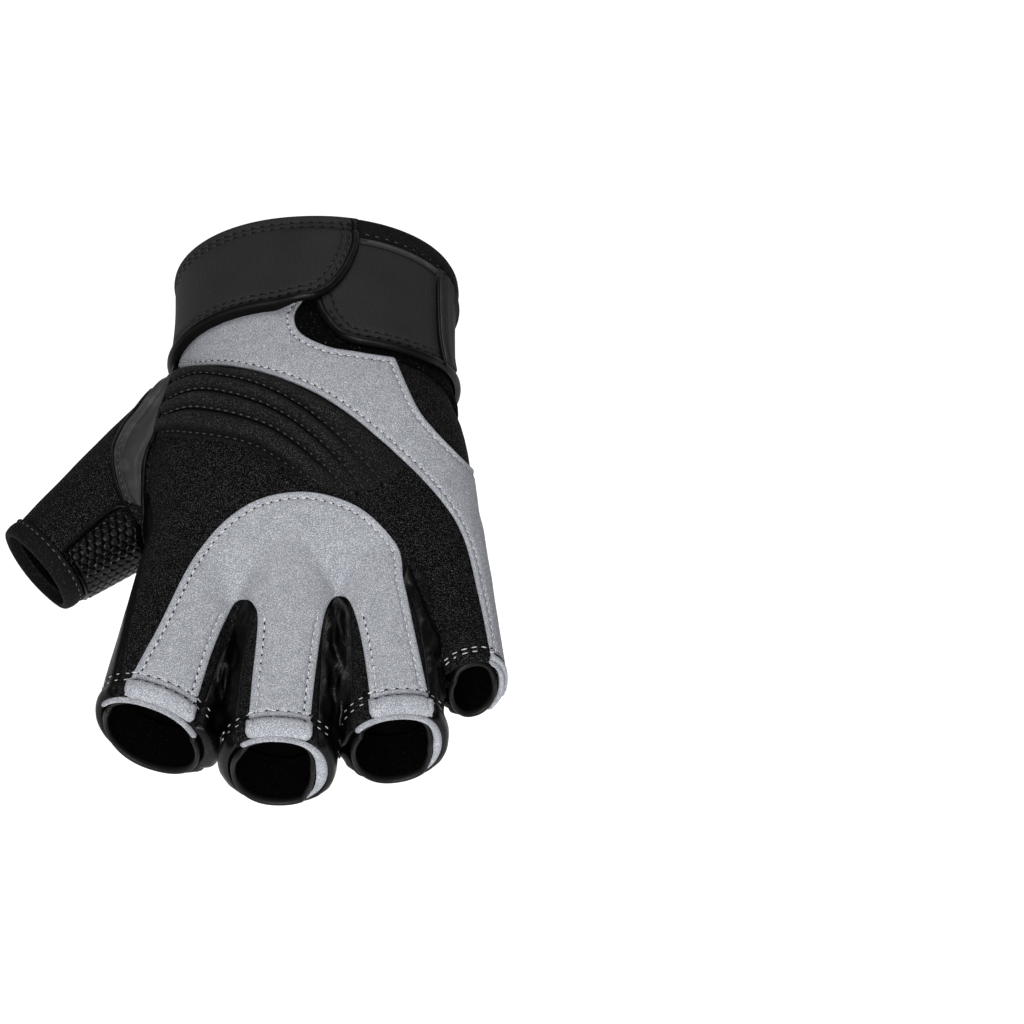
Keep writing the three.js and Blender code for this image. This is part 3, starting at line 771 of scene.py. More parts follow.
def loft(rings):
    # a closed skin over rings, with a fan at each end
    count, around = rings.shape[:2]
    quads = ringFaces(count, around, True)
    sides = np.concatenate([quads[:, [0, 1, 2]], quads[:, [0, 2, 3]]])
    points = np.concatenate([rings.reshape(-1, 3), rings[[0, -1]].mean(1)])
    column = np.arange(around)
    after = (column + 1) % around
    hub, lastRing = count * around, (count - 1) * around
    first = np.stack([after, column, np.full(around, hub)], 1)
    last = np.stack([lastRing + column, lastRing + after, np.full(around, hub + 1)], 1)
    return points, np.concatenate([sides, first, last])


def neckAt(name, back, angle):
    # past its opening a finger's form draws back from the longer finger beside it
    apart = (angle - hand["longerBeside"].get(name, 0) + 180) % 360 - 180
    neck = smoothStep(-back, hand["neckFrom"], hand["neckTo"]) * dip(apart, 0, hand["neckAngle"])
    return neck * (name in hand["longerBeside"])


def digitLoft(name):
    length = digitAxes(name)[4]
    neck = np.linspace(-hand["neckFrom"], -hand["neckTo"], 6)
    back = np.concatenate([np.linspace(length, 0, 36), neck, [-hand["spare"]]])[:, None]
    angle = np.linspace(0, 360, 72, endpoint=False)
    return loft(digitPoint(name, back, angle, -hand["neck"] * neckAt(name, back, angle)))


def handLoft():
    y = np.concatenate([[hand["spare"]], np.linspace(0, -124, 80)])
    angle = np.linspace(0, 360, 120, endpoint=False)
    return loft(handPoint(y[:, None], angle, 0))


def smoothUnion(lofts):
    points, faces, start = [], [], 0
    for these, those in lofts:
        points.append(these)
        faces += (those + start).tolist()
        start += len(these)
    mesh = bpy.data.meshes.new("form")
    mesh.from_pydata((np.concatenate(points) * mm).tolist(), [], faces)
    form = bpy.data.objects.new("form", mesh)
    bpy.context.scene.collection.objects.link(form)
    remesh = form.modifiers.new("remesh", "REMESH")
    remesh.mode = "VOXEL"
    remesh.voxel_size = hand["voxel"] * mm
    soft = form.modifiers.new("soft", "SMOOTH")
    soft.iterations = hand["smoothing"]
    soft.factor = 0.5
    shaped = bpy.data.meshes.new_from_object(form.evaluated_get(bpy.context.evaluated_depsgraph_get()))
    bpy.data.objects.remove(form)
    places = np.empty(len(shaped.vertices) * 3, np.float32)
    shaped.vertices.foreach_get("co", places)
    normals = np.array([v.vector for v in shaped.vertex_normals])
    shaped.calc_loop_triangles()
    corners = np.empty(len(shaped.loop_triangles) * 3, np.int32)
    shaped.loop_triangles.foreach_get("vertices", corners)
    return places.reshape(-1, 3).astype(float) / mm, corners.reshape(-1, 3).astype(int), normals


def handPlace(points):
    # distance along the hand and angle round it
    *_, turn, _ = handRow(points[:, 1])
    y = points[:, 1] + points[:, 0] * np.tan(np.radians(turn))
    x, half, top, middle, bottom, roundness, _, roll = handRow(y)
    across, high, roll = points[:, 0] - x, points[:, 2] - middle, np.radians(roll)
    dx = across * np.cos(roll) + high * np.sin(roll)
    dz = high * np.cos(roll) - across * np.sin(roll)
    c = np.sign(dx) * np.abs(dx / half) ** (roundness / 2)
    s = np.sign(dz) * np.abs(dz / np.where(dz > 0, top - middle, middle - bottom)) ** (roundness / 2)
    return y, np.degrees(np.arctan2(s, c)) % 360


# plan outlines of the side pieces between two fingers, as smooth stretches of [x, y]
gussets = {
    "indexMiddleGusset": [
        [(-13.5, -115), (-11.4, -124), (-14, -142), (-15.6, -180)], [(-15.6, -180), (-30, -180)],
        [(-30, -180), (-20.5, -142), (-16, -124), (-13.5, -115)],
    ],
    "middleRingGusset": [
        [(10.4, -114), (13, -125), (14, -142), (15.2, -180)], [(15.2, -180), (7, -180)],
        [(7, -180), (7.3, -142), (7.8, -125), (10.4, -114)],
    ],
    "ringLittleGusset": [
        [(29, -111), (32.2, -117), (35.6, -124), (38.4, -136), (43, -180)], [(43, -180), (37.5, -180)],
        [(37.5, -180), (34.6, -145), (31.2, -125), (27.6, -118), (29, -111)],
    ],
}

# outlines in the pattern plane, which leans 45 degrees: [across, along] with along = (y + z) / sqrt 2
outlines = {
    "sideOverlay": [
        [(-38.6, -21.6), (-38, -16.5), (-36.3, -13.2), (-33.5, -10.7), (-25.7, -7.1), (-16.9, -4.8),
         (-6, -3.2)],
        [(-6, -3.2), (-1.5, -4), (-3.7, -9), (-1.5, -14), (6, -17.8), (14, -19.2), (23.7, -20.7)],
        [(23.7, -20.7), (29.7, -33.7), (34.4, -40.2), (40.6, -46.8), (54, -60)],
        [(54, -60), (66, -90), (66, -122)],
        [(66, -122), (51.6, -114), (50.6, -104), (46.9, -84), (40.6, -64.4), (24.8, -46.6),
         (3.4, -30.6), (-18.4, -23.3), (-33, -22.9), (-38.6, -21.6)],
    ],
    "knuckleOverlay": [
        [(-44.5, -120), (-42.2, -107.4), (-35.2, -91.8), (-26.3, -72.7), (-14.3, -60.8), (0.2, -57.1),
         (14.8, -60.8), (25.2, -70.6), (27.2, -79.5)],
        [(27.2, -79.5), (31.9, -99.8), (36.6, -120)],
        [(36.6, -120), (21, -122)],
        [(21, -122), (19.6, -108.4), (16.8, -93.8), (14, -86), (11, -84.2), (8, -86), (6.3, -93),
         (4.7, -112.3), (4.4, -128)],
        [(4.4, -128), (-11, -128)],
        [(-11, -128), (-10.4, -108.3), (-9.6, -91), (-11.1, -86.2), (-14, -85), (-17.2, -87),
         (-21.9, -98.8), (-27.5, -122)],
    ],
    "thumbGusset": [
        [(-37, -17), (-38.3, -25.5), (-40.1, -33.8), (-42, -41.6), (-43.4, -45), (-44.6, -49),
         (-44.3, -55.4), (-43.1, -62.2), (-43.6, -66.6)],
        [(-43.6, -66.6), (-49.6, -58.1), (-52.8, -47), (-51.2, -39.6), (-47.2, -33), (-41.5, -24),
         (-37, -17)],
    ],
    "thumbGripPatch": [
        [(-64.8, -72.8), (-54.6, -63.8), (-50.6, -61.1), (-47.6, -61.4), (-42, -70)],
        [(-42, -70), (-42, -84)],
        [(-42, -84), (-61.5, -94)],
        [(-61.5, -94), (-64.8, -72.8)],
    ],
}


def patternPlace(points):
    return np.stack([points[:, 0], (points[:, 1] + points[:, 2]) / math.sqrt(2)], 1)


def makeForm():
    thumb, palm = digitLoft("thumb"), handLoft()
    fingers = [digitLoft(name) for name in fingerNames]
    points, faces, normals = smoothUnion([palm, thumb, *fingers])
    sheet = makeSheet(points, faces, normals)
    y, angle = handPlace(points)
    sheet["wrist"] = y
    nearThumb, nearHand = (BVHTree.FromPolygons(p.tolist(), f.tolist()) for p, f in (thumb, palm))
    apart = [(nearThumb.find_nearest(p)[3], nearHand.find_nearest(p)[3]) for p in points.tolist()]
    sheet["thumbSide"] = np.array(apart) @ (1, -1)
    sheet["back"] = np.full(len(points), hand["farBack"])
    sheet["little"] = np.zeros(len(points))
    nearest = np.full(len(points), hand["digitShare"])
    for name in digits:
        back, angle, share = digitPlace(name, points)
        share = share + hand["neckShare"] * neckAt(name, back, angle)
        closer = (share < nearest) & (back < hand["digitReach"])
        if name == "thumb":
            closer &= sheet["thumbSide"] < 0
        sheet["back"] = np.where(closer, back, sheet["back"])
        sheet["little"] = np.where(closer, float(name == "little"), sheet["little"])
        nearest = np.where(closer, share, nearest)
    sheet["seam"] = points[:, 2] - seamHeight(points[:, 0], points[:, 1])
    print(f"form: {len(faces)} faces")
    return sheet


form = makeForm()
for field in ("wrist", "back"):
    form = splitAt(form, field, 0.0)
form = keepFaces(form, (faceSide(form, "wrist") < 0) & (faceSide(form, "back") > 0))

# the thumb's crescent ends below the body's seam, and above it towards the wrist
crescentFoot = {"below": 4, "rise": 5, "riseFrom": -46, "riseTo": -36}
crescentOutline = distanceToLine(patternPlace(form["points"]), outlineOf(outlines["thumbGusset"]))
crescentRise = smoothStep(form["wrist"], crescentFoot["riseFrom"], crescentFoot["riseTo"])
crescentEnd = form["seam"] + crescentFoot["below"] - crescentFoot["rise"] * crescentRise
form["crescent"] = np.maximum(crescentOutline, -crescentEnd)
for field in ("crescent", "thumbSide"):
    form = splitAt(form, field)
inCrescent = faceSide(form, "crescent") < 0
crescentSheet = keepFaces(form, inCrescent)
bodySheet = keepFaces(form, (faceSide(form, "thumbSide") > 0) & ~inCrescent)
thumbSheet = keepFaces(form, (faceSide(form, "thumbSide") < 0) & ~inCrescent)
print(f"body {len(bodySheet['faces'])}, thumb {len(thumbSheet['faces'])} faces")


def clouds(points, size, seed=0.0):
    # smooth noise from -1 to 1 with a feature size in millimetres
    shift = Vector((seed, seed * 1.7, -seed))
    return np.array([noise.noise(Vector(p) / size + shift) for p in points.tolist()])


def relief(distance, shapes, base=0):
    # ridges and grooves along an edge, each by its height, distance from the edge and width
    return sum((height * dip(distance, middle, width) for height, middle, width in shapes), base)


def rollOver(distance, radius):
    # how far a rounded edge has dropped at a distance from its end
    t = np.clip(1 - distance / radius, 0, 1)
    return radius * (1 - np.sqrt(np.maximum(1 - t * t, 0)))


# the body's panels: how they meet at seams and end at the fingers
panels = {
    # ridges and grooves: height, distance from the edge and width
    "atSeam": [(-0.75, 0, 0.9), (0.16, 2.2, 1.1)],
    "atEdge": [(0.5, 2.7, 1.7)],
    "edgeRadius": 1.1,  # fold at a finger's edge
    "hemRows": (5.2, 7.2),  # stitch rows, back from the edge
    "littleRows": (2.2, 3.5),
    "rowDepth": 0.28,
    "rowWidth": 0.4,
    "sag": 0.22,
    "unevenness": 0.07,
    "backLevels": [0.2, 0.5, 0.9, 1.6, 2.7, 4.2, 4.85, 5.2, 5.55, 6.85, 7.2, 7.55],
    "seamLevels": [0.4, 0.9, 1.6],
    # digit, angle and height of the thicker places beside an opening
    "bulges": [("index", -8, 2.1), ("middle", 188, 0.8)],
    "bulgeAngle": 34,
}

# the wrinkled leather between the fingers
folds = {
    "depth": 3.0,
    "line": (0.45, -0.84, -0.3),  # direction in which they run
    "width": 3.4,
    "length": 12,
    "bend": (2.5, 2, 2),
    "bendSize": 10,
    "sharpness": 2.4,
    "ridge": 0.8,
    "power": 1.5,
    "sunk": 0.22,
    "lumps": 0.15,
    "lumpSize": 6,
    "valleyRounds": 60,  # rounds of smoothing before the leather is folded
    "easingRounds": 3,  # and after
    "deepest": 0.3,  # how far the leather may lie below the form
    "thinnest": 0.6,
    "sharpFrom": 100,
}


def bulgeAt(digit, back, angle):
    height = 0 * angle
    for name, turn, rise in panels["bulges"]:
        if name == digit:
            apart = (angle - turn + 180) % 360 - 180
            bulge = rise * dip(apart, 0, panels["bulgeAngle"])
            height = height + bulge * smoothStep(back, -0.5, 2) * (1 - smoothStep(back, 9, 24))
    return height


def sagOf(points):
    return panels["sag"] * clouds(points, 16) + panels["unevenness"] * clouds(points, 5, 3)


def foldsOf(points):
    # sharp ridges that run along a line and wander, with lumps between them
    along = points @ folds["line"]
    apart = points - along[:, None] * np.array(folds["line"])
    bend = clouds(points, folds["bendSize"], 3)[:, None] * np.array(folds["bend"])
    where = (apart + bend) / folds["width"] + along[:, None] / folds["length"] * np.ones(3)
    ridges = 1 - np.abs(clouds(where, 1, 7)) * folds["sharpness"]
    lumps = folds["lumps"] * clouds(points, folds["lumpSize"], 19)
    return folds["ridge"] * np.maximum(ridges, 0) ** folds["power"] - folds["sunk"] + lumps


def panelHeights(sheet, creased):
    points, back, seam = sheet["points"], sheet["back"], sheet["fromSeam"]
    roll = rollOver(back, panels["edgeRadius"])
    top = relief(seam, panels["atSeam"]) + relief(back, panels["atEdge"])
    for row, littleRow in zip(panels["hemRows"], panels["littleRows"]):
        rowHere = np.where(sheet["little"] > 0.5, littleRow, row)
        top -= panels["rowDepth"] * dip(back, rowHere, panels["rowWidth"])
    top += sagOf(points)
    if creased:
        away = smoothStep(back, 6, 14) * smoothStep(seam, 0.5, 2.5)
        top += folds["depth"] * away * foldsOf(points)
    for digit in ("index", "middle"):
        fromOpening, angle, share = digitPlace(digit, points)
        top += bulgeAt(digit, fromOpening, angle) * (1 - smoothStep(share, 1.06, 1.22))
    top = top * smoothStep(back, 0, 1.2) - roll
    bottom = -hand["wall"] + roll * 0.9
    return top, np.minimum(bottom, top - folds["thinnest"]) if creased else bottom


def easeSurface(sheet, points, free, rounds):
    # lets the sharp creases of a surface out, but not at its seams
    edges = faceEdges(sheet["faces"])
    count = len(sheet["points"])
    links = np.bincount(edges.ravel(), minlength=count)[:, None]
    for _ in range(rounds):
        around = np.zeros((count, 3))
        np.add.at(around, edges[:, 0], points[edges[:, 1]])
        np.add.at(around, edges[:, 1], points[edges[:, 0]])
        points[:count] += 0.6 * free * (around / links - points[:count])


def fillValley(sheet, free):
    # the leather between two fingers spans the sharp valley of the form and lies over the fingers' linings
    before = sheet["points"].copy()
    easeSurface(sheet, sheet["points"], free, folds["valleyRounds"])
    sunk = -((sheet["points"] - before) * sheet["normals"]).sum(1)
    sheet["points"] += np.maximum(sunk - folds["deepest"], 0)[:, None] * sheet["normals"]
    a, b, c = sheet["points"][sheet["faces"]].transpose(1, 0, 2)
    turned = np.zeros_like(sheet["points"])
    for corner in range(3):
        np.add.at(turned, sheet["faces"][:, corner], np.cross(b - a, c - a))
    turned = unit(turned)
    turned *= np.sign((turned * sheet["normals"]).sum())
    sheet["normals"] = unit(sheet["normals"] * (1 - free) + turned * free)


def makePanel(name, sheet, material, slot, node, creased=False):
    sheet = splitAtAll(sheet, "back", panels["backLevels"])
    seams = sheet["back"] > 0.01
    sheet["fromSeam"] = distanceTo(sheet["points"], rimSamples(sheet, seams & (sheet["wrist"] < -0.01)))
    sheet = splitAtAll(sheet, "fromSeam", panels["seamLevels"])
    free = (smoothStep(sheet["fromSeam"], 0.5, 1.6) * smoothStep(sheet["back"], 5, 9))[:, None]
    if creased:
        fillValley(sheet, free)
    top, bottom = panelHeights(sheet, creased)
    points, faces = shellOf(sheet, top, bottom)
    sharp = 50
    if creased:
        easeSurface(sheet, points, free, folds["easingRounds"])
        sharp = folds["sharpFrom"]
    place(meshObject(name, points, faces, material, sharp=sharp), slot, node)


for name, outline in gussets.items():
    bodySheet[name] = distanceToLine(bodySheet["points"][:, :2], outlineOf(outline, 3))
    bodySheet = splitAt(bodySheet, name)
bodySheet = splitAt(bodySheet, "seam")
taken = np.zeros(len(bodySheet["faces"]), bool)
print("body panels")
for name, node in (
    ("indexMiddleGusset", "index_middle_gusset"),
    ("middleRingGusset", "middle_ring_gusset"),
    ("ringLittleGusset", "ring_little_gusset"),
):
    inside = faceSide(bodySheet, name) < 0
    taken |= inside
    makePanel(name, keepFaces(bodySheet, inside), foldLeather, "leather", node, creased=True)
above = faceSide(bodySheet, "seam") > 0
makePanel("backPanel", keepFaces(bodySheet, above & ~taken), fleece, "fleece", "back_panel")
makePanel("palmPanel", keepFaces(bodySheet, ~above & ~taken), smoothLeather, "leather", "palm_panel")


def linesAt(sheet, field, level):
    # the runs of points that lie on a level, after splitAt has made them
    onLevel = np.abs(sheet[field] - level) < 1e-9
    edges = faceEdges(sheet["faces"])
    edges = edges[onLevel[edges].all(1)]
    links = {}
    for a, b in edges.tolist():
        links.setdefault(a, []).append(b)
        links.setdefault(b, []).append(a)
    starts = [a for a in links if len(links[a]) == 1] + list(links)
    seen, runs = set(), []
    for start in starts:
        if start in seen:
            continue
        run = [start]
        seen.add(start)
        while True:
            onward = [b for b in links[run[-1]] if b not in seen]
            if not onward:
                break
            run.append(onward[0])
            seen.add(onward[0])
        if start in links[run[-1]] and len(run) > 4:
            run.append(start)
        if len(run) > 5:
            runs.append(run)
    return runs


def eased(line, rounds=2):
    for _ in range(rounds):
        line = np.concatenate([line[:1], (line[:-2] + 2 * line[1:-1] + line[2:]) / 4, line[-1:]])
    return line


def seamPaths(sheet, field, level, top, keep=None):
    # lines on the finished surface of a piece, each as points and the directions away from it
    paths = []
    surface = sheet["points"] + sheet["normals"] * top[:, None]
    for run in linesAt(sheet, field, level):
        run = np.array(run)
        wanted = np.ones(len(run), bool) if keep is None else keep[run]
        for part in np.split(np.arange(len(run)), np.flatnonzero(np.diff(wanted.astype(int))) + 1):
            if wanted[part[0]] and len(part) > 5:
                chosen = run[part]
                paths.append((eased(surface[chosen]), unit(eased(sheet["normals"][chosen], 4))))
    return paths


# grey suede laid on the back of the hand
overlay = {
    "thickness": 0.75,
    "edgeRadius": 0.4,
    "stitchInset": 1.9,
    "grooveDepth": 0.4,
    "grooveWidth": 0.5,
    "ridge": 0.1,  # between the stitches and the edge
    "ridgeInset": 0.9,
    "unevenness": 0.12,
    "underside": -0.1,
    "hemStart": 0.3,  # back from a finger's edge
    "rowDepth": 0.42,
    "rowWidth": 0.4,
    "edgeLevels": [0.1, 0.28, 0.5],
    "websWithoutStitches": [(-13.8, -87), (11, -86.5)],  # in the pattern plane
    "webReach": 7,
}


def overlayHeights(sheet, puff, rows):
    edge, back = sheet["fromEdge"], sheet["back"]
    top = overlay["thickness"] - rollOver(edge, overlay["edgeRadius"])
    inset = sheet["fromOutline"]
    sewn = smoothStep(back, rows[1] + 0.4, rows[1] + 1) * sheet["sewn"]
    top -= overlay["grooveDepth"] * dip(inset, overlay["stitchInset"], overlay["grooveWidth"]) * sewn
    ridge = overlay["ridge"] * dip(inset, overlay["ridgeInset"], overlay["grooveWidth"])
    top += ridge + overlay["unevenness"] * clouds(sheet["points"], 9, 5)
    top += puff * (1 - smoothStep(back, rows[0] - 1, rows[0] - 0.2)) * np.sqrt(smoothStep(edge, 0, 2.2))
    for row in rows:
        top -= overlay["rowDepth"] * dip(back, row, overlay["rowWidth"]) * smoothStep(edge, 0.2, 0.8)
    return top


def makeOverlay(name, node, lift, puff, rows):
    sheet = keepFaces(bodySheet, faceSide(bodySheet, "seam") > -2)
    sheet["outline"] = distanceToLine(patternPlace(sheet["points"]), outlineOf(outlines[name]))
    sheet = trimTo(sheet, "outline", -1)
    sheet = trimTo(sheet, "back", 1, overlay["hemStart"])
    sheet = finer(trimTo(sheet, "seam", 1, lift))
    outline = np.abs(sheet["outline"]) < 0.02
    sheet["fromEdge"] = distanceTo(sheet["points"], rimSamples(sheet))
    sheet["fromOutline"] = distanceTo(sheet["points"], rimSamples(sheet, outline))
    sheet = splitAtAll(sheet, "fromEdge", overlay["edgeLevels"])
    sheet = splitAtAll(sheet, "fromOutline", [1.5, overlay["stitchInset"], 2.5])
    sheet = splitAtAll(sheet, "back", [row + step for row in rows for step in (-0.35, 0, 0.35)])
    sheet["sewn"] = np.ones(len(sheet["points"]))
    if name == "knuckleOverlay":
        for web in overlay["websWithoutStitches"]:
            away = np.linalg.norm(patternPlace(sheet["points"]) - web, axis=1)
            sheet["sewn"] *= smoothStep(away, overlay["webReach"] - 1.5, overlay["webReach"] + 0.5)
    top = overlayHeights(sheet, puff, rows)
    buildShell(name, sheet, top, overlay["underside"], suede, "suede", node)
    return sheet, top


# the rolled hems at the ends of the grey legs
hemRoll = {
    "front": -0.3,
    "rear": 4.6,
    "rise": 2.4,
    "roll": 2.3,
    "corner": 1.8,
    "wider": 0.4,
    "rearHeight": 0.06,
    "base": 0.15,
    "stitchInset": 2.3,
    "stitchDepth": 0.4,
    "stitchWidth": 0.35,
    "edgeLevels": [0.1, 0.3, 0.6, 1.0],
}


def makeHemRoll(name, leg):
    back, angle, share = digitPlace(name, leg["points"])
    near = (leg["fromOutline"] < 0.05) & (back > 3) & (back < 6) & (np.abs(share - 1) < 0.12)
    right, left = angle[near].min(), angle[near].max()
    turns = np.linspace(right - 5, left + 5, 90)
    line = digitPoint(name, 2.5, turns, 0)
    lengths = np.concatenate([[0], np.cumsum(np.linalg.norm(np.diff(line, axis=0), axis=1))])
    start, end = np.interp([right, left], turns, lengths) + (-hemRoll["wider"], hemRoll["wider"])
    spans = np.linspace(start, end, 64)[None, :]
    backs = np.linspace(hemRoll["front"], hemRoll["rear"], 24)[:, None]
    turn = np.interp(spans, lengths, turns)
    points = digitPoint(name, backs, turn, 0)
    normals = digitPoint(name, backs, turn, 1) - points
    inset = np.minimum(spans - start, end - spans) + backs * 0
    front = backs - hemRoll["front"] + spans * 0
    edge = cornered(inset, front, hemRoll["corner"])
    sheet = gridSheet(points, normals, edge=edge, inset=inset, rear=hemRoll["rear"] - backs)
    sheet = splitAtAll(trimTo(sheet, "edge", 1, 0.02), "edge", hemRoll["edgeLevels"])
    share = np.clip(np.minimum(sheet["edge"], sheet["rear"] + hemRoll["rearHeight"]) / hemRoll["roll"], 0, 1)
    top = hemRoll["base"] + hemRoll["rise"] * np.sqrt(1 - (1 - share) ** 2)
    groove = hemRoll["stitchDepth"] * dip(sheet["inset"], hemRoll["stitchInset"], hemRoll["stitchWidth"])
    top -= groove * smoothStep(sheet["edge"], 0.5, 1.5)
    top += 0.1 * clouds(sheet["points"], 4, 13) * smoothStep(sheet["edge"], 0.2, 1.5)
    buildShell(f"{name}HemRoll", sheet, top, -hemRoll["base"], suede, "suede")


print("overlays")
edgeRows, hemRows, padRows, blackRows = [], [], [], []  # lines to sew along
for name, node, lift, puff, rows in (
    ("sideOverlay", "side_overlay", 0.15, 0.3, panels["littleRows"]),
    ("knuckleOverlay", "knuckle_overlay", 3, -0.3, panels["hemRows"]),
):
    sheet, top = makeOverlay(name, node, lift, puff, rows)
    sewn = (sheet["back"] > rows[1]) & (sheet["sewn"] > 0.6)
    if name == "knuckleOverlay":
        for digit in ("index", "middle", "ring"):
            makeHemRoll(digit, sheet)
    edgeRows += seamPaths(sheet, "fromOutline", overlay["stitchInset"], top, sewn)
    for row in rows:
        hemRows += seamPaths(sheet, "back", row, top, (sheet["fromEdge"] > 0.3) & (sheet["back"] < 9))


# the ribbed pad: guide lines in the pattern plane, from the wrist side to the finger side
pad = {
    "guides": [
        [(-35.8, -23.6), (-27.4, -23.6), (-7.4, -26.8), (14.2, -38.2), (29, -52.4)],
        [(-36.8, -28.2), (-27.1, -25.6), (-9.3, -29.9), (8, -41.3), (23.4, -57)],
        [(-37.8, -32.8), (-26.7, -30.1), (-9.1, -34.9), (7.1, -46.1), (18.2, -58.6)],
        [(-38.7, -37.3), (-28.5, -35.1), (-9.9, -39.7), (4.6, -49.4), (12.4, -57)],
        [(-39.5, -41.3), (-33.8, -40.9), (-15.1, -43.9), (-2, -50.8), (6.4, -55.4)],
    ],
    "ribSteps": 14,
    "stitchShift": 1,  # net lines from the groove up the rib
    "steps": 190,
    "fullness": 0.6,  # lower for ribs with steeper sides
    "rise": 2.8,
    "base": 0.75,
    "fadeFrom": 0.6,  # share of a rib's length from which it flattens
    "fadeTo": 0.97,
    "lip": 0.22,  # share of a rib that runs on past the last stitches
    "turnedIn": 0.5,  # how far the pad's rim goes down into the cloth
}


def layOnForm(places, rise=0):
    # points of the pattern plane laid straight down on the form, with the form's directions there
    tree = BVHTree.FromPolygons(form["points"].tolist(), form["faces"].tolist())
    down = Vector((0, 1, -1)).normalized()
    out, normals = np.empty((len(places), 3)), np.empty((len(places), 3))
    for i, (u, v) in enumerate(places):
        start = Vector((u, v / math.sqrt(2), v / math.sqrt(2))) - down * 150
        spot, _, index, _ = tree.ray_cast(start, down)
        if spot is None:
            spot, _, index, _ = tree.find_nearest(start + down * 150)
        corners = form["faces"][index]
        a, b, c = form["points"][corners]
        shares = np.linalg.lstsq(np.stack([a, b, c], 1), np.array(spot), rcond=None)[0]
        out[i] = spot
        normals[i] = shares @ form["normals"][corners]
    normals = unit(normals)
    return out + normals * rise, normals


def padNet():
    # a net with columns across the ribs and rows along them
    guides = [splineThrough(guide, pad["steps"]) for guide in pad["guides"]]
    picks = np.linspace(0, len(guides[0]) - 1, pad["steps"] + 1).astype(int)
    share = picks / (len(guides[0]) - 1)
    last = len(guides) - 1
    columns = np.arange(last * pad["ribSteps"] + 1) / pad["ribSteps"]
    columns = np.concatenate([columns, last + pad["lip"] * np.array([0.3, 0.6, 0.85, 1])])
    rows = np.stack([guide[picks] for guide in guides], 1)
    low = np.minimum(columns.astype(int), last - 1)
    part = (columns - low)[None, :, None]
    places = rows[:, low] * (1 - part) + rows[:, low + 1] * part
    points, normals = layOnForm(places.reshape(-1, 2))
    shape = (len(picks), len(columns), 3)
    return gridSheet(points.reshape(shape), normals.reshape(shape), rib=columns, share=share[:, None])


def padHeights(sheet):
    points, rib, share = sheet["points"], sheet["rib"], sheet["share"]
    last = len(pad["guides"]) - 1
    swell = np.abs(np.sin(np.pi * np.minimum(rib, last))) ** pad["fullness"]
    start = 0.2 + 0.8 * np.sqrt(smoothStep(share, 0, 0.035))
    fade = (1 - smoothStep(share, pad["fadeFrom"], pad["fadeTo"])) * start
    top = pad["base"] * (0.25 + 0.75 * fade) + (pad["rise"] - pad["base"]) * swell * fade
    top += (0.1 * clouds(points, 3.2, 9) + 0.1 * clouds(points, 6, 4)) * swell * fade
    top -= 0.2 * (1 - fade) * (1 - swell) * smoothStep(rib, 0.5, 0.8)
    top += 0.5 * dip(rib, last + pad["lip"] * 0.6, 0.06) * fade
    rim = np.maximum(smoothStep(rib, last + pad["lip"] * 0.7, last + pad["lip"]), smoothStep(share, 0.93, 1))
    return sagOf(points) + top * (1 - rim) - pad["turnedIn"] * rim


def makePad():
    sheet = padNet()
    normals, rib, share = sheet["normals"], sheet["rib"], sheet["share"]
    top = padHeights(sheet)
    bottom = np.minimum(top - 0.3, -0.3)
    # the map holds rib and share, which place the pad cloth's painted groove shade
    uv = np.tile(np.stack([rib, share], 1) / mm, (2, 1))
    piece = buildShell("quiltedPad", sheet, top, bottom, padCloth, "fleece", "quilted_pad", uv=uv)
    surface = sheet["points"] + normals * top[:, None]
    last = len(pad["guides"]) - 1
    for line in range(1, last + 1):
        sewn = line - pad["stitchShift"] / pad["ribSteps"] * (line < last)
        chosen = np.flatnonzero((np.abs(rib - sewn) < 1e-6) & (share > 0.02) & (share < 0.96))
        padRows.append((surface[chosen], normals[chosen]))


makePad()


# the thumb: a fleece sleeve, a smooth leather crescent beside the hand and an embossed grip patch
thumb = {
    "hemWidth": 5.7,
    "hemRise": 0.85,
    "hemStitch": 4.5,
    "hemRoll": 0.9,
    "hemWall": 1.1,
    "backLevels": [0.2, 0.5, 1.0, 2.6, 4.0, 4.5, 5.0, 5.3, 5.5, 5.7, 6.2],
    "seamDepth": 0.7,
    "seamLevels": [0.35, 0.8, 1.4],
    "patchRise": 0.95,
    "patchLevels": [0.12, 0.35, 0.7, 1.0, 1.3],
    # ridges and grooves inside the patch's edge: height, distance and width
    "patchRelief": [(0.35, 0.4, 0.25), (-0.4, 0.95, 0.25)],
    "cell": 2.35,  # width of an embossed cell
    "cellRise": 0.4,
    "cellSpread": 1.15,
    # the crescent beside the thumb, from its edge to its stitches, and the fold after them
    "crescentEdge": [(0.6, 0.65, 0.4), (-0.6, 0, 0.35), (-0.35, 1.35, 0.25)],
    "crescentFold": [(0.5, 2.0, 0.4), (-0.3, 2.7, 0.25)],
    "crescentLevels": [0.3, 0.6, 0.9, 1.35, 1.8, 2.1, 2.4, 2.8],
    "crescentRise": 0.7,
    "crescentBottom": -1.9,
    "crescentStitch": 1.35,
    # the cord between the crescent and the hand
    "seamCord": [(-36.8, -20), (-38.2, -27.5), (-39.6, -35), (-40.5, -41.5), (-42.6, -45.9),
                 (-43.3, -51.4), (-42.9, -56.5), (-42.2, -62.5), (-42.2, -65.5)],
    "patchCord": [(-64.8, -72.8), (-60, -68.4), (-54.6, -63.8), (-50.6, -61.1), (-47.6, -61.4)],
}


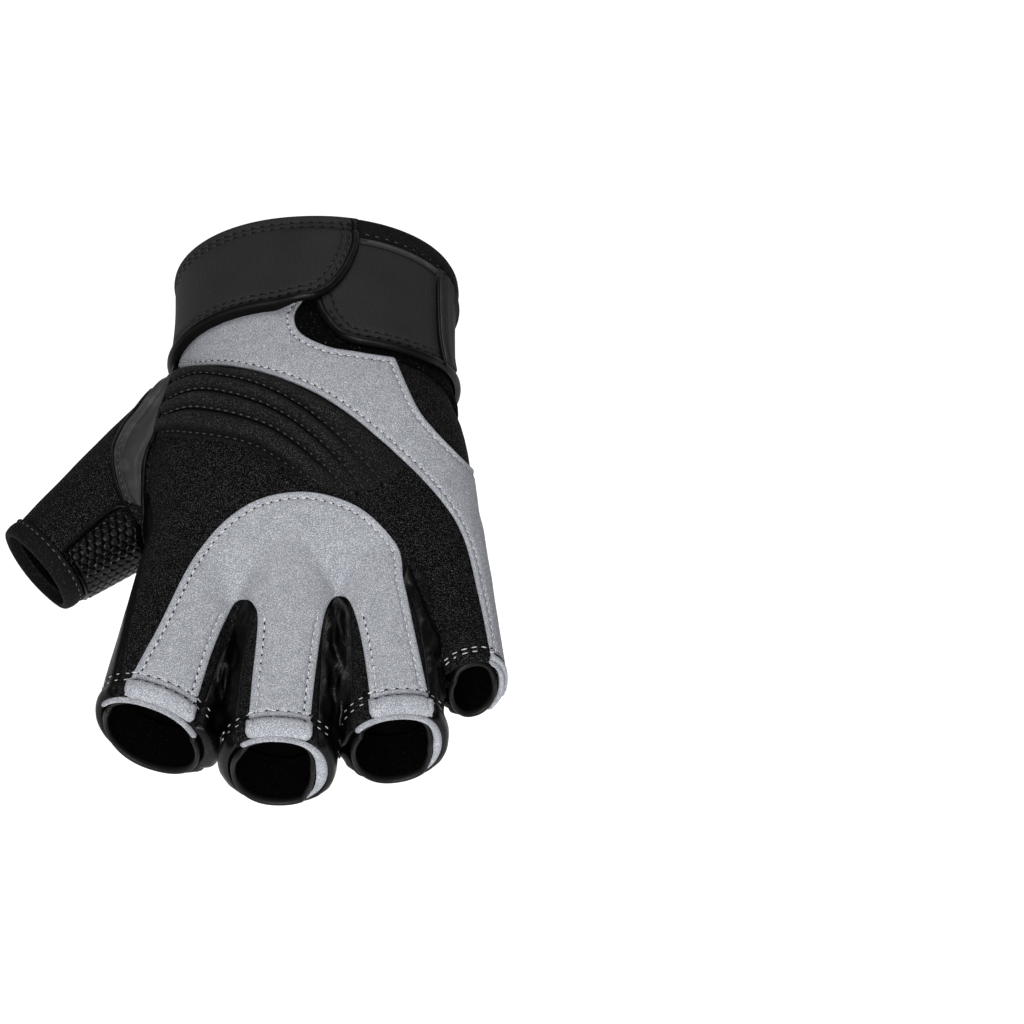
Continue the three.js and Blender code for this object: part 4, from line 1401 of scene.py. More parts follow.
def layCord(name, line, ups, radius, material, slot):
    along = unit(np.gradient(line, axis=0))
    side = unit(np.cross(along, ups))
    turn = np.linspace(0, 2 * np.pi, 11)[:-1, None]
    fromStart = np.arange(len(line))
    fromEnd = fromStart[::-1]
    ends = radius * np.sqrt(np.clip(np.minimum(fromStart, fromEnd) / 6, 0.05, 1))
    spokes = np.cos(turn) * side[:, None] + np.sin(turn) * np.cross(side, along)[:, None]
    points, faces = loft(line[:, None] + spokes * ends[:, None, None])
    return place(meshObject(name, points, faces, material), slot)


def embossed(sheet):
    # rows of rounded cells, along the thumb and round it
    back, angle, _ = digitPlace("thumb", sheet["points"])
    x, y = back, np.radians(angle) * digits["thumb"]["tipHalf"][0] * thumb["cellSpread"]
    width = thumb["cell"]
    high = width * math.sqrt(3)
    best, second = np.full(len(x), 1e9), np.full(len(x), 1e9)
    for shift in (0, 0.5):
        for step in (-1, 0, 1):
            for lift in (-1, 0, 1):
                px = (np.round(x / width - shift) + shift + step) * width
                py = (np.round(y / high - shift) + shift + lift) * high
                far = np.hypot(x - px, y - py)
                second = np.minimum(second, np.maximum(far, best))
                best = np.minimum(best, far)
    return thumb["cellRise"] * np.sqrt(smoothStep((second - best) / 2, 0.02, 0.45))


def makeThumbSleeve():
    sleeve = splitAtAll(thumbSheet, "back", thumb["backLevels"])
    sleeve["fromSeam"] = distanceTo(sleeve["points"], rimSamples(sleeve, sleeve["back"] > 1))
    sleeve = splitAtAll(sleeve, "fromSeam", thumb["seamLevels"])
    back, seam = sleeve["back"], sleeve["fromSeam"]
    hem = 1 - smoothStep(back, thumb["hemWidth"] - 0.35, thumb["hemWidth"])
    roll = rollOver(back, thumb["hemRoll"])
    top = thumb["hemRise"] * hem - 0.35 * dip(back, thumb["hemWidth"] + 0.25, 0.4)
    top += 0.25 * dip(back, 2.2, 1.3) - 0.35 * dip(back, thumb["hemStitch"], 0.4)
    top -= thumb["seamDepth"] * dip(seam, 0, 0.7)
    top += 0.25 * clouds(sleeve["points"], 12, 21) * smoothStep(back, 8, 16) - roll
    wall = thumb["hemWall"]
    bottom = -wall - (hand["wall"] - wall) * smoothStep(back, 2.5, 5.5) + roll * 0.5
    for name, chosen, material, nodes in (
        ("thumbSleeve", faceSide(sleeve, "back", thumb["hemWidth"]) > 0, fleece, ["thumb_sleeve"]),
        ("thumbHem", faceSide(sleeve, "back", thumb["hemWidth"]) < 0, hemCloth, []),
    ):
        part = keepFaces(sleeve | {"top": top, "bottom": bottom}, chosen)
        buildShell(name, part, part["top"], part["bottom"], material, "fleece", *nodes)
    blackRows.extend(seamPaths(sleeve, "back", thumb["hemStitch"], top))


def makeCrescent():
    crescent = finer(crescentSheet)
    handSide, thumbSide = outlines["thumbGusset"]
    places = patternPlace(crescent["points"])
    crescent["fromThumb"] = distanceToLine(places, splineThrough(thumbSide, 12), closed=False)
    crescent["fromHand"] = distanceToLine(places, splineThrough(handSide, 12), closed=False)
    crescent = splitAtAll(crescent, "fromThumb", thumb["crescentLevels"])
    edge, inner = crescent["fromThumb"], crescent["fromHand"]
    top = relief(edge, thumb["crescentEdge"])
    top += relief(edge, thumb["crescentFold"]) + thumb["crescentRise"] * smoothStep(edge, 2.7, 6)
    top += 0.15 * clouds(crescent["points"], 7, 2) - 0.8 * dip(inner, 0, 0.8)
    buildShell("thumbGusset", crescent, top, thumb["crescentBottom"], softLeather, "leather", "thumb_gusset")
    blackRows.extend(seamPaths(crescent, "fromThumb", thumb["crescentStitch"], top, inner > 1.5))
    line, ups = layOnForm(splineThrough(thumb["seamCord"], 10), 0.95)
    layCord("thumbSeamCord", line, ups, 0.6, pipingCloth, "leather")
    line, ups = layOnForm(splineThrough(thumbSide, 10)[4:-12], 0.35)
    layCord("thumbSideCord", line, ups, 0.5, pipingCloth, "leather")


def makePatch():
    patch = thumbSheet | {}
    patch["patch"] = distanceToLine(patternPlace(patch["points"]), outlineOf(outlines["thumbGripPatch"]))
    patch["patch"] = np.maximum(patch["patch"], thumb["hemWidth"] + 0.1 - patch["back"])
    patch = finer(finer(trimTo(patch, "patch", -1)))
    patch["fromEdge"] = distanceTo(patch["points"], rimSamples(patch))
    patch = splitAtAll(patch, "fromEdge", thumb["patchLevels"])
    edge = patch["fromEdge"]
    top = relief(edge, thumb["patchRelief"], thumb["patchRise"] - rollOver(edge, 0.4))
    top += embossed(patch) * smoothStep(edge, 0.9, 1.3)
    buildShell("thumbGripPatch", patch, top, -0.2, patchLeather, "embossed_leather", "thumb_grip_patch")
    line, ups = layOnForm(splineThrough(thumb["patchCord"], 10), 0.95)
    layCord("thumbPatchCord", line, ups, 0.3, pipingCloth, "embossed_leather")


print("thumb")
makeThumbSleeve()
makeCrescent()
makePatch()


# the cuff's layers, as heights over the hand's form, and the edges of its straps by the angle round the wrist
cuff = {
    "hemWidth": 6.5,
    "bandTop": 1.35,
    "strapBottom": 2.1,
    "strapWall": 1.45,
    "overShort": 3.7,
    "pipe": 1.05,  # radius of the rolled edge
    "pipeRise": 0.65,
    "stitchRows": (2.9, 4.7),  # from a piped edge
    "topRows": (3.3, 5.2),  # from the top edge
    "barFrom": 9,
    "barTo": 25.8,
    "barCorner": 1.6,
    "barTop": 4.1,
    "barSeam": 2.5,  # from the bar's end
    "rowDepth": 0.4,  # grooves of the stitch rows
    "rowWidth": 0.42,
    "topRowDepth": 0.3,
    "topRowWidth": 0.4,
    "hemOuter": 3.6,
    "hemWall": 1.3,
    "hemStitch": -4.2,
    "longTop": 2.2,  # how far the long strap stands past the wrist's edge
    "longEdge": [(69, 2.2), (67.5, 1.8), (67, 0.6), (67, -4), (67.7, -12), (72.4, -22.5),
                 (78.7, -30.2), (84.5, -33.6), (90, -34.6), (98, -35), (142, -35.2), (160, -34.8),
                 (175, -33.5), (195, -30.5), (215, -26), (236, -23)],
    "shortEdge": [(-40, -36), (-13, -38), (0, -39.4), (12, -41.6), (19.5, -43), (27, -44.2),
                  (36.5, -46), (48, -47.2), (62, -47.9), (70, -48), (76, -46.8), (79.5, -44),
                  (82.5, -40.2), (84.5, -36.2), (86.3, -29), (87.3, -18)],
    "bandEdge": [(0, -47.6), (25, -48.4), (35, -48.7), (57, -49.8), (82, -51.5), (98, -45), (120, -41),
                 (180, -39), (270, -42), (360, -47.6)],
    "pipeWidth": 2.1,
    # distances from a piped edge, and from a strap's top edge, where its shape bends
    "pipeLevels": [0.06, 0.25, 0.6, 1.05, 1.5, 1.85, 2.02, 2.1, 2.35, 2.6, 2.9, 3.25, 3.8, 4.35, 4.7, 5.05],
    "longLevels": [0.15, 0.5, 1.1, 2.4, 2.9, 3.3, 3.7, 4.8, 5.2, 5.6],
    "shortLevels": [0.1, 0.35, 0.7, 1.05, 1.3, 1.6],
    "overHand": 1.25,  # how far the long strap's edge reaches down onto the grey band
}
cuffAngles = np.arange(-50, 381, 1.0)
cuffRing = handPoint(-20, cuffAngles, cuff["strapBottom"])
cuffLengths = np.concatenate([[0], np.cumsum(np.linalg.norm(np.diff(cuffRing, axis=0), axis=1))])


def alongCuff(angle):
    return np.interp(angle, cuffAngles, cuffLengths)


def cuffSheet(fromAngle, toAngle, lower, upper, step=0.85):
    # a flat net of the cuff laid on the hand's form, with places along and across it
    spans = np.arange(alongCuff(fromAngle), alongCuff(toAngle) + step, step)[:, None]
    heights = np.arange(lower, upper + step, step)
    angle = np.interp(spans, cuffLengths, cuffAngles)
    points = handPoint(heights, angle, 0)
    along = handPoint(heights, angle + 0.3, 0) - handPoint(heights, angle - 0.3, 0)
    down = handPoint(heights + 0.2, angle, 0) - handPoint(heights - 0.2, angle, 0)
    normals = np.cross(down, along)
    if (normals * (points - (0, 0, 1)))[..., [0, 2]].sum() < 0:
        normals = -normals
    return gridSheet(points, normals, along=spans, y=heights, angle=angle)


def edgeLine(table, steps=8):
    # an edge of the cuff as a line in its flat net
    line = splineThrough(table, steps)
    return np.stack([alongCuff(line[:, 0]), line[:, 1]], 1)


def flatPlaces(sheet):
    return np.stack([sheet["along"], sheet["y"]], 1)


def cutStrap(sheet, edge, corners):
    # the part of a net inside a strap's outline, with the distance from its piped edge
    sheet["outline"] = distanceToLine(flatPlaces(sheet), np.concatenate([edge, corners]))
    sheet = trimTo(sheet, "outline", -1)
    sheet["edge"] = distanceToLine(flatPlaces(sheet), edge, closed=False)
    return sheet


def pipedTop(edge, upper):
    # height over the strap's face of a rolled edge with a crease inside it
    radius = cuff["pipe"]
    inside = np.clip(1 - ((edge - radius) / radius) ** 2, 0, 1)
    pipe = (cuff["pipeRise"] + radius) * np.sqrt(inside) - radius
    face = -0.4 * dip(edge, 2 * radius + 0.1, 0.3)
    for row in cuff["stitchRows"]:
        face = face - cuff["rowDepth"] * dip(edge, row, cuff["rowWidth"])
    face = (face + 0.15 * dip(edge, sum(cuff["stitchRows"]) / 2, 0.5)) * smoothStep(upper, 1.5, 3)
    return np.where(edge < 2 * radius, np.maximum(pipe, -radius), face)


def placeStrap(name, node, sheet, top, bottom):
    # a strap's cloth and its rolled edge, as two pieces
    whole = sheet | {"top": top, "bottom": bottom, "rim": sheet["edge"]}
    whole = splitAt(whole, "rim", cuff["pipeWidth"])
    rolled = faceSide(whole, "rim", cuff["pipeWidth"]) < 0
    for part, chosen, material, nodes in (
        (name, ~rolled, strapCloth, [node]),
        (name + "Piping", rolled, pipingCloth, []),
    ):
        piece = keepFaces(whole, chosen)
        uv = np.tile(flatPlaces(piece), (2, 1))
        buildShell(part, piece, piece["top"], piece["bottom"], material, "webbing", *nodes, uv=uv)


def makeLongStrap():
    sheet = cuffSheet(64, 236, -38, 4)
    edge = edgeLine(cuff["longEdge"])
    sheet = cutStrap(sheet, edge, np.array([(alongCuff(236), cuff["longTop"])]))
    sheet["upper"] = cuff["longTop"] - sheet["y"]
    sheet = splitAtAll(sheet, "edge", cuff["pipeLevels"])
    sheet = splitAtAll(sheet, "upper", cuff["longLevels"])
    lift = (cuff["overShort"] - cuff["strapBottom"]) * (1 - smoothStep(sheet["angle"], 88, 102))
    bottom = cuff["strapBottom"] + lift * smoothStep(sheet["upper"], 5.5, 9)
    upper = sheet["upper"]
    fold = 0.4 * dip(upper, 1.6, 1.2) - rollOver(upper, 1.1)
    for row in cuff["topRows"]:
        fold = fold - cuff["topRowDepth"] * dip(upper, row, cuff["topRowWidth"])
    overHand = (1 - smoothStep(sheet["edge"], 2.5, 4.5)) * smoothStep(sheet["angle"], 90, 100)
    piped = pipedTop(sheet["edge"], upper)
    top = bottom + cuff["strapWall"] + fold + np.where(piped > 0, piped * smoothStep(upper, 0, 6), piped)
    top += 0.12 * clouds(sheet["points"], 18, 31) * smoothStep(sheet["edge"], 3, 8)
    top = np.maximum(top, bottom + 0.25)
    bottom = bottom - cuff["overHand"] * overHand
    placeStrap("wristStrapLong", "wrist_strap_long", sheet, top, bottom)
    inTop, inEdge = upper > 2.6, sheet["edge"] > 2.4
    for row in cuff["stitchRows"]:
        strapRows.extend(seamPaths(sheet, "edge", row, top, inTop))
    for row in cuff["topRows"]:
        strapRows.extend(seamPaths(sheet, "upper", row, top, inEdge))


def makeShortStrap():
    sheet = cuffSheet(-42, 90, -52, -5)
    upperLine = -cuff["hemWidth"] - 0.1
    edge = edgeLine(cuff["shortEdge"])
    corners = np.array([(alongCuff(90), -18), (alongCuff(90), upperLine), (alongCuff(-40), upperLine)])
    sheet = cutStrap(sheet, edge, corners)
    sheet["upper"] = upperLine - sheet["y"]
    sheet = splitAtAll(sheet, "edge", cuff["pipeLevels"])
    sheet = splitAtAll(sheet, "upper", cuff["shortLevels"])
    bottom = np.full(len(sheet["points"]), cuff["strapBottom"])
    under = smoothStep(sheet["angle"], 79, 83)
    fold = 1.1 * dip(sheet["upper"], 0.6, 0.5) - 0.5 * dip(sheet["upper"], 1.5, 0.35)
    top = bottom + 1.1 + pipedTop(sheet["edge"], sheet["upper"]) * (1 - 0.6 * under) + fold
    top += 0.1 * clouds(sheet["points"], 15, 36) * smoothStep(sheet["edge"], 3, 8)
    highest = np.where(sheet["angle"] > 76, bottom + 1.5, 99)  # lower where the long strap covers it
    top = np.clip(top, bottom + 0.2, highest)
    placeStrap("wristStrapShort", "wrist_strap_short", sheet, top, bottom)
    for row in cuff["stitchRows"]:
        strapRows.extend(seamPaths(sheet, "edge", row, top, (sheet["angle"] < 80) & (sheet["upper"] > 2)))


def makeEndBar():
    # it lies over the short strap, down to the strap's rolled edge
    sheet = cuffSheet(cuff["barFrom"], cuff["barTo"], -46, -cuff["hemWidth"] - 0.1, 0.7)
    edge = edgeLine(cuff["shortEdge"])
    width = alongCuff(cuff["barTo"]) - alongCuff(cuff["barFrom"])
    across = sheet["along"] - alongCuff(cuff["barFrom"])
    lower = sheet["y"] - np.interp(sheet["along"], edge[:, 0], edge[:, 1]) - 2.3
    sheet["edge"] = cornered(np.minimum(across, width - across), lower, cuff["barCorner"])
    sheet["across"] = across
    sheet = splitAtAll(trimTo(sheet, "edge", 1, 0.01), "edge", [0.2, 0.5, 0.9])
    seam = width - cuff["barSeam"]
    sheet = splitAtAll(sheet, "across", [width - 3.0, seam, width - 2.0, width - 1.2, width - 0.6])
    across = sheet["across"]
    top = cuff["barTop"] - 0.9 * rollOver(sheet["edge"], 0.8)
    top += 0.25 * dip(across, width - 1.2, 0.6) - 0.7 * dip(across, seam, 0.4)
    top += 0.25 * dip(across, width - 3.8, 0.8)
    bottom = np.full(len(top), cuff["strapBottom"] + 0.6)
    top = np.maximum(top, bottom + 0.2)
    uv = np.tile(flatPlaces(sheet), (2, 1))
    buildShell("strapEndBar", sheet, top, bottom, strapCloth, "webbing", "strap_end_bar", uv=uv)


def edgeCord(name, y, angle, grow, radius, material):
    line = handPoint(y, angle, grow)
    layCord(name, line, unit(line - handPoint(y, angle, grow - 1)), radius, material, "webbing")


def makeCuffBand():
    sheet = keepFaces(form, faceSide(form, "thumbSide") > 0)
    y, angle = handPlace(sheet["points"])
    edge = splineThrough(cuff["bandEdge"], 6)
    sheet["below"] = np.interp(angle, edge[:, 0], edge[:, 1]) - y
    first, last = pad["guides"][0], pad["guides"][-1]
    padEdge = [first, [first[-1], last[-1]], last[::-1], [last[0], first[0]]]
    places = patternPlace(sheet["points"])
    underSide = distanceToLine(places, outlineOf(outlines["sideOverlay"]))
    underPad = distanceToLine(places, outlineOf(padEdge))
    hidden = np.minimum(np.minimum(underSide, underPad), 50) - 0.1
    sheet["covered"] = -np.maximum(hidden, -sheet["seam"])
    sheet["above"] = sheet["wrist"] + cuff["hemWidth"] - 1.9
    for field in ("below", "covered", "above"):
        sheet = trimTo(sheet, field, -1)
    sheet["fromEdge"] = distanceTo(sheet["points"], rimSamples(sheet))
    sheet = splitAtAll(sheet, "fromEdge", [0.15, 0.45, 0.9, 1.4])
    edge = sheet["fromEdge"]
    top = cuff["bandTop"] - rollOver(edge, 0.8) + 0.15 * dip(edge, 0.9, 0.5) - 0.25 * dip(edge, 1.7, 0.3)
    top = np.clip(top + 0.12 * clouds(sheet["points"], 2.2, 41), 0.05, 1.75)
    buildShell("cuffBand", sheet, top, -0.15, loopCloth, "loop_fabric", "cuff_band")


def makeCuffHem():
    angle = np.linspace(0, 360, 241)[:-1]
    bare = np.clip(1 - smoothStep(angle, 68, 74) + smoothStep(angle, 238, 244), 0, 1)
    flat = angle * 0
    outer = cuff["bandTop"] + 0.3 + (cuff["hemOuter"] - cuff["bandTop"] - 0.3) * bare
    end = 0.9 + 0.7 * bare
    inside = flat - hand["wall"] - cuff["hemWall"]
    # the hem's section, round its outer side, its folded end and its inner side
    rows = [
        (-6.3, outer - 0.5), (-5.9, outer - 0.1), (-5.2, outer), (-4.7, outer - 0.12),
        (-4.2, outer - 0.4 * bare), (-3.7, outer - 0.1), (-2.6, outer + 0.15 * bare),
        (-0.8, outer + 0.2 * bare), (end * 0.5, outer), (end + 0.4, outer - 0.5), (end + 0.8, outer - 1.3),
        (end + 0.95, flat - 0.8), (end + 0.6, inside + 0.5), (end, inside), (-1.5, inside),
        (-6.2, inside), (-6.5, inside + 0.5), (-6.2, inside + 1.0), (0.3, inside + 1.0),
        (0.3, flat + 0.3), (-6.2, flat + 0.3),
    ]
    rings = np.stack([handPoint(y + flat, angle, grow) for y, grow in rows], 1)
    place(closedBand("cuffHem", rings, hemCloth), "webbing", "cuff_hem")
    shown = np.arange(-117, 65, 1.0)
    row = handPoint(cuff["hemStitch"], shown, 3.2)
    cuffRows.append((row, unit(row - handPoint(cuff["hemStitch"], shown, 2.2))))


print("cuff")
strapRows, cuffRows = [], []
makeLongStrap()
makeShortStrap()
makeEndBar()
turns = np.arange(cuff["barTo"], 66, 0.5)
level = turns * 0 - cuff["hemWidth"] - 0.7
edgeCord("shortStrapCord", level, turns, cuff["strapBottom"] + 1.6, 0.55, softLeather)
down = np.arange(-7.5, -44, -0.7)
edgeCord("endBarCord", down, down * 0 + cuff["barTo"], 3.7, 0.75, pipingCloth)
makeCuffBand()
makeCuffHem()


# what shows inside the openings: a lining with a rolled rim, and grey facings by angle and width
openings = {
    "depth": 11,
    "wall": 1.3,
    "rim": 0.72,  # half the rim's thickness
    "rimReach": 1.05,  # half the rim's length along the digit
    "thumbLip": -3.4,
    "fullWidth": 0.8,  # narrower facings are thinner too
    # a facing's rounded section: distance back and share of its width
    "facingEdge": [(1.4, 0), (0, 0.03), (-0.6, 0.16), (-0.95, 0.42), (-0.9, 0.76), (-0.5, 0.97), (1.4, 1)],
    # angle, width and depth of the outer edge under the sleeve's surface
    "facings": {
        "index": [(24, 0.3, 1.9), (30, 0.9, 1.8), (50, 1.0, 1.3), (75, 1.05, 0.9), (110, 1.05, 0.7),
                  (140, 1.0, 0.7), (148, 0.8, 0.7), (152, 0.3, 0.8)],
        "middle": [(-62, 0.2, 2.1), (-45, 1.9, 2.0), (-18, 3.0, 1.9), (8, 3.1, 1.7), (32, 2.3, 1.3),
                   (58, 1.3, 0.9), (90, 1.0, 0.7), (116, 1.0, 0.8), (126, 0.9, 0.9), (130, 0.4, 1.0)],
        "ring": [(-52, 0.2, 2.1), (-32, 1.7, 1.9), (-5, 2.5, 1.7), (20, 2.1, 1.4), (50, 1.4, 0.8),
                 (90, 1.0, 0.7), (128, 1.0, 0.8), (136, 0.9, 0.9), (140, 0.4, 1.0)],
        "little": [(-62, 0.3, 0.6), (-48, 1.0, 0.5), (-15, 1.6, 0.1), (15, 1.6, 0), (38, 1.1, 0.1),
                   (52, 0.8, 0.3), (58, 0.3, 0.5)],
    },
}


def sweptRing(name, digit, rows, angles, material):
    # a closed band round a digit, from rows of (back, grow) at each angle
    flat = angles * 0
    rings = [digitPoint(digit, back + flat, angles, grow + flat) for back, grow in rows]
    return closedBand(name, np.stack(rings, 1), material)


def facingAt(name, angles):
    # width and depth of the facing, by angle
    table = np.array(openings["facings"].get(name, [(0, 0, 1), (180, 0, 1)]), float)
    turned = (angles + 90) % 360 - 90
    width = np.interp(turned, table[:, 0], table[:, 1], left=0, right=0)
    return width, np.interp(turned, table[:, 0], table[:, 2])


def makeLining(name):
    angles = np.linspace(0, 360, 121)[:-1]
    width, depth = facingAt(name, angles)
    high = np.sin(np.radians(angles))
    upper = np.maximum(smoothStep(width, 0.1, 0.7) * smoothStep(high, 0.1, 0.6), smoothStep(high, 0.55, 0.9))
    lip = 1.3 + 0.9 * np.maximum(-high, 0) - 1.6 * upper + 0.15 * np.sin(np.radians(angles) * 3 + 1)
    if name == "thumb":
        lip = openings["thumbLip"] + 0 * high
    middle = -np.maximum(3.0, depth + 0.8 + width)
    outer = -hand["wall"] - 0.15
    front, deep = -lip + 0.8, openings["depth"]
    inner = outer - openings["wall"]
    rows = [
        (deep, outer), (deep, inner), (6, inner - 0.1), (3, (inner + middle) / 2 - 0.3),
        (front, middle - 0.5), (front, middle + 0.45),
        (front + 0.6, np.maximum(middle + 0.5, outer - 0.1)), (3, outer),
    ]
    place(sweptRing(f"{name}Lining", name, rows, angles, liningCloth), "lining", f"{name}_lining")
    if name == "thumb":
        return
    turn = np.radians(np.arange(0, 360, 30))
    bulge = openings["rim"] * (1 + 0.06 * np.sin(np.radians(angles) * 5))
    reach = openings["rimReach"]
    rows = [(reach - lip + reach * np.cos(t), middle + bulge * np.sin(t)) for t in turn]
    place(sweptRing(f"{name}Rim", name, rows, angles, rimCloth), "lining")


def makeFacing(name):
    line = splineThrough(np.array(openings["facings"][name], float), 8)
    angles, width, top = line[:, 0], np.maximum(line[:, 1], 0.15), -line[:, 2]
    size = np.clip(width / openings["fullWidth"], 0.3, 1)
    rings = []
    for back, part in openings["facingEdge"]:
        rings.append(digitPoint(name, back * size, angles, top - part * width))
    points, faces = loft(np.stack(rings, 1))
    nodes = [f"{name}_edge_trim"] if name != "little" else []
    place(meshObject(f"{name}EdgeTrim", points, faces, suede), "suede", *nodes)


print("openings")
for name in digits:
    makeLining(name)
for name in openings["facings"]:
    makeFacing(name)


# stitches: one bead at each step along the seam lines, and between two beads a dark bead of painted shade
# that stands for the needle hole
stitchSizes = ("Pitch", "Length", "Width", "Height", "Start")
# those sizes and a seed for each row
# the Holes rows are dark beads of painted shade at the needle holes
stitches = {
    "edge": (2.35, 1.35, 0.46, 0.6, 0.0, 4),
    "edgeHoles": (2.35, 1.0, 0.62, 0.34, 1.17, 5),
    "hem": (2.6, 1.5, 0.42, 0.3, 0.0, 4),
    "hemHoles": (2.6, 1.15, 0.72, 0.36, 1.3, 5),
    "dash": (2.6, 1.3, 0.27, 0.3, 0.4, 12),
    "little": (2.5, 1.7, 0.4, 0.4, 0.3, 13),
    "strap": (2.8, 1.4, 0.42, 0.75, 0.0, 6),
    "strapHoles": (2.8, 1.7, 1.0, 0.75, 1.4, 7),
    "cuff": (2.8, 1.5, 0.4, 0.4, 0.0, 16),
    "cuffHoles": (2.8, 1.5, 0.8, 0.3, 1.4, 17),
    "pad": (2.3, 1.3, 0.4, 0.5, 0.0, 14),
    "padHoles": (2.3, 1.1, 0.8, 0.5, 1.15, 15),
    "black": (2.3, 1.2, 0.36, 0.5, 0.0, 8),
    "blackHoles": (2.3, 1.1, 0.7, 0.3, 1.15, 9),
}
stitchParts = {
    "longest": 10.0,  # metres, more than any row
    "segments": 7,
    "rings": 5,
    "radius": 0.5,
    "uneven": (0.06, 0.06, 0.12),  # how far a stitch may turn to each side
}


def makeStitchTree():
    # beads of thread at even steps along a row, each laid along it and raised away from the cloth
    tree = bpy.data.node_groups.new("stitchRow", "GeometryNodeTree")
    kinds = {"Geometry": "NodeSocketGeometry", "Seed": "NodeSocketInt", "Material": "NodeSocketMaterial"}
    for label in ("Geometry", *stitchSizes, "Seed", "Material"):
        kind = kinds.get(label, "NodeSocketFloat")
        tree.interface.new_socket(label, in_out="INPUT", socket_type=kind)
    tree.interface.new_socket("Geometry", in_out="OUTPUT", socket_type="NodeSocketGeometry")
    take, give = tree.nodes.new("NodeGroupInput").outputs, tree.nodes.new("NodeGroupOutput").inputs
    curve = wired(tree, "GeometryNodeMeshToCurve", {"Mesh": take["Geometry"]})
    # sockets 4 and 5 are the start and end as lengths
    cut = {"Curve": curve["Curve"], 4: take["Start"], 5: stitchParts["longest"]}
    trimmed = wired(tree, "GeometryNodeTrimCurve", cut, mode="LENGTH")
    pitch = {"Curve": trimmed["Curve"], "Length": take["Pitch"]}
    steps = wired(tree, "GeometryNodeResampleCurve", pitch, mode="LENGTH")
    away = wired(tree, "GeometryNodeInputNamedAttribute", {"Name": "away"}, data_type="FLOAT_VECTOR")
    along = wired(tree, "GeometryNodeInputTangent", {})
    align = "FunctionNodeAlignRotationToVector"
    upright = wired(tree, align, {"Vector": away["Attribute"]}, axis="Z")
    turned = wired(tree, align, {"Rotation": upright[0], "Vector": along[0]}, axis="X", pivot_axis="Z")
    ball = {label: stitchParts[label.lower()] for label in ("Segments", "Rings", "Radius")}
    bead = wired(tree, "GeometryNodeMeshUVSphere", ball)
    lying = {"Geometry": bead["Mesh"], "Rotation": (0, math.pi / 2, 0)}
    laid = wired(tree, "GeometryNodeTransform", lying)
    size = wired(tree, "ShaderNodeCombineXYZ", {0: take["Length"], 1: take["Width"], 2: take["Height"]})
    shaped = wired(tree, "GeometryNodeTransform", {"Geometry": laid["Geometry"], "Scale": size[0]})
    most = stitchParts["uneven"]
    draw = {0: tuple(-turn for turn in most), 1: most, "Seed": take["Seed"]}
    uneven = wired(tree, "FunctionNodeRandomValue", draw, data_type="FLOAT_VECTOR")
    tilting = {"Rotation": turned[0], "Rotate By": uneven[0]}
    tilt = wired(tree, "FunctionNodeRotateRotation", tilting, rotation_space="LOCAL")
    beads = {"Points": steps["Curve"], "Instance": shaped["Geometry"], "Rotation": tilt[0]}
    copies = wired(tree, "GeometryNodeInstanceOnPoints", beads)
    real = wired(tree, "GeometryNodeRealizeInstances", {"Geometry": copies["Instances"]})
    smooth = wired(tree, "GeometryNodeSetShadeSmooth", {"Geometry": real["Geometry"]})
    dyed = {"Geometry": smooth["Geometry"], "Material": take["Material"]}
    coloured = wired(tree, "GeometryNodeSetMaterial", dyed)
    feed(tree, give["Geometry"], coloured["Geometry"])
    return tree


def sewRows(name, paths, stitch, material, slot):
    points = np.concatenate([line for line, _ in paths]) * mm
    aways = np.concatenate([away for _, away in paths])
    edges, start = [], 0
    for line, _ in paths:
        edges += [(start + i, start + i + 1) for i in range(len(line) - 1)]
        start += len(line)
    mesh = bpy.data.meshes.new(name + "Path")
    mesh.from_pydata(points.tolist(), edges, [])
    attribute = mesh.attributes.new("away", "FLOAT_VECTOR", "POINT")
    attribute.data.foreach_set("vector", aways.astype(np.float32).ravel())
    rows = bpy.data.objects.new(name + "Path", mesh)
    bpy.context.scene.collection.objects.link(rows)
    tree = bpy.data.node_groups.get("stitchRow") or makeStitchTree()
    sewing = rows.modifiers.new("sewing", "NODES")
    sewing.node_group = tree
    *sizes, seed = stitch
    given = {label: size * mm for label, size in zip(stitchSizes, sizes)}
    given |= {"Seed": seed, "Material": material}
    for item in tree.interface.items_tree:
        if item.in_out == "INPUT" and item.name in given:
            sewing[item.identifier] = given[item.name]
    shaped = bpy.data.meshes.new_from_object(rows.evaluated_get(bpy.context.evaluated_depsgraph_get()))
    rows.modifiers.remove(sewing)
    bpy.data.objects.remove(rows)
    shaped.name = name
    piece = bpy.data.objects.new(name, shaped)
    bpy.context.scene.collection.objects.link(piece)
    return place(piece, slot)


def hemRing(digit, back, first, last, grow):
    angles = np.arange(first, last, 3.0)
    lifted = grow + bulgeAt(digit, back, angles)
    line = digitPoint(digit, back, angles, lifted)
    return line, unit(line - digitPoint(digit, back, angles, lifted - 1))


print("stitches")
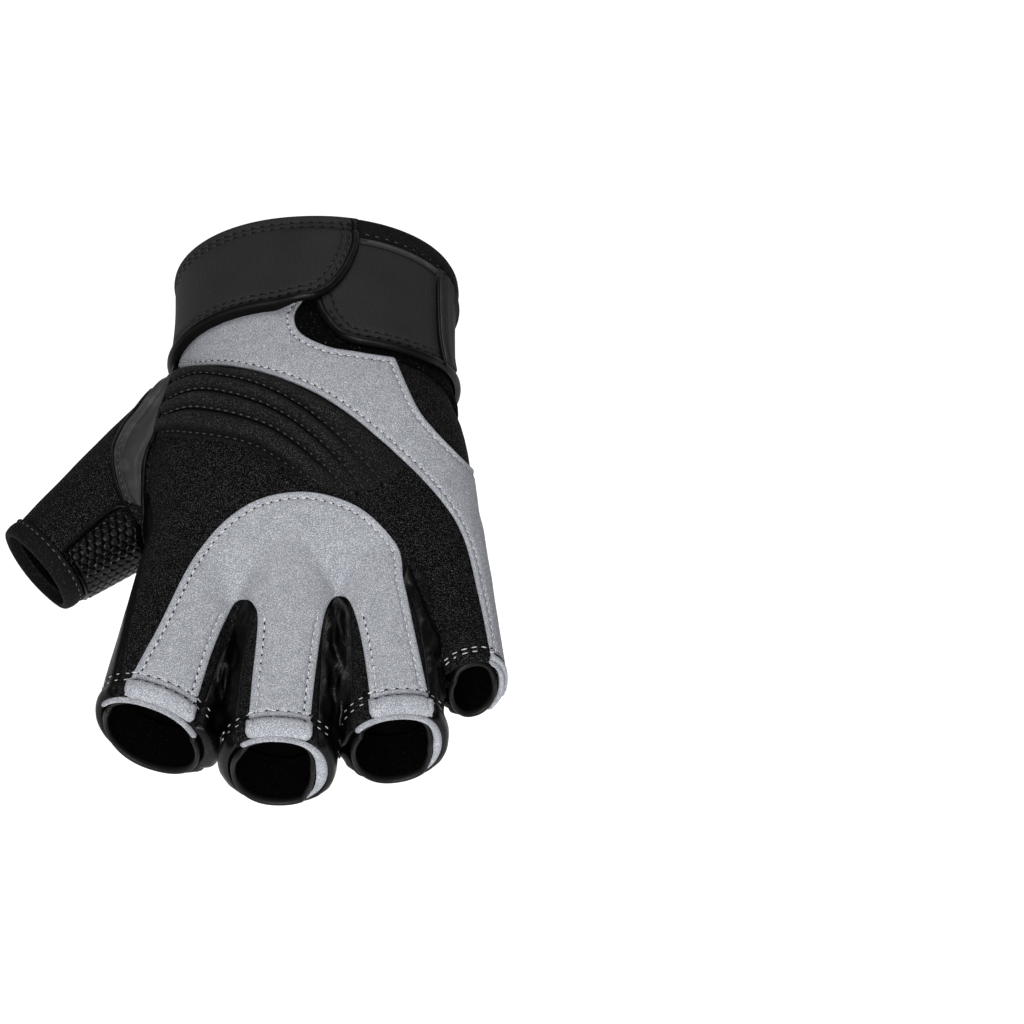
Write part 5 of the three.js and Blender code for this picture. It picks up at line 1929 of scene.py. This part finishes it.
# the finger hems' rows run on over the black cloth at both sides of the grey, between these angles
dashSpans = {
    "index": [(114, 170), (26, 58)],
    "middle": [(117, 165), (30, 60)],
    "ring": [(122, 165), (26, 58)],
}
dashRows, littleRows = [], []
for digit, spans in dashSpans.items():
    for back in panels["hemRows"]:
        dashRows += [hemRing(digit, back, first, last, -0.1) for first, last in spans]
for back in panels["littleRows"]:
    littleRows.append(hemRing("little", back, 48, 165, 0.1))
for name, rows, material, slot in (
    ("edge", edgeRows, greyThread, "suede"),
    ("hem", hemRows, greyThread, "suede"),
    ("dash", dashRows, paleThread, "suede"),
    ("little", littleRows, paleThread, "suede"),
    ("strap", strapRows, strapThread, "webbing"),
    ("cuff", cuffRows, blackThread, "webbing"),
    ("pad", padRows, padThread, "fleece"),
    ("black", blackRows, blackThread, "fleece"),
):
    sewRows(name + "Stitches", rows, stitches[name], material, slot)
    if name + "Holes" in stitches:
        sewRows(name + "StitchHoles", rows, stitches[name + "Holes"], holeShade, slot)


studio = {
    "floor": -0.3,
    "floorSize": 8,
    "floorShade": 0.4,
    "floorRoughness": 0.9,
    "floorGlow": 0.8,
    "world": 0.25,
    "aim": (0, -0.08, 0),  # where the lamps point
    # place, size and power of each lamp
    "lamps": {
        "key": ((-0.06, -1.15, 0.58), 0.45, 20),
        "top": ((0.05, 0.5, 1.05), 0.5, 7),
    },
}


def makeStudio():
    bpy.ops.mesh.primitive_plane_add(size=studio["floorSize"], location=(0, 0, studio["floor"]))
    floor = bpy.context.object
    floor.name = "floor"
    pale = bpy.data.materials.new("paleFloor")
    pale.use_nodes = True
    shader = pale.node_tree.nodes["Principled BSDF"]
    shader.inputs["Base Color"].default_value = grey(studio["floorShade"])
    shader.inputs["Roughness"].default_value = studio["floorRoughness"]
    shader.inputs["Emission Color"].default_value = (1, 1, 1, 1)
    shader.inputs["Emission Strength"].default_value = studio["floorGlow"]
    floor.data.materials.append(pale)
    world = bpy.data.worlds.new("studio")
    bpy.context.scene.world = world
    world.use_nodes = True
    backdrop = world.node_tree.nodes["Background"]
    backdrop.inputs["Color"].default_value = (1, 1, 1, 1)
    backdrop.inputs["Strength"].default_value = studio["world"]
    for name, (spot, size, power) in studio["lamps"].items():
        light = bpy.data.lights.new(name, "AREA")
        light.size = size
        light.energy = power
        lamp = bpy.data.objects.new(name, light)
        lamp.location = spot
        toGlove = Vector(studio["aim"]) - Vector(spot)
        lamp.rotation_euler = toGlove.to_track_quat("-Z", "Y").to_euler()
        bpy.context.scene.collection.objects.link(lamp)
    bpy.context.scene.view_settings.view_transform = "Standard"


makeStudio()
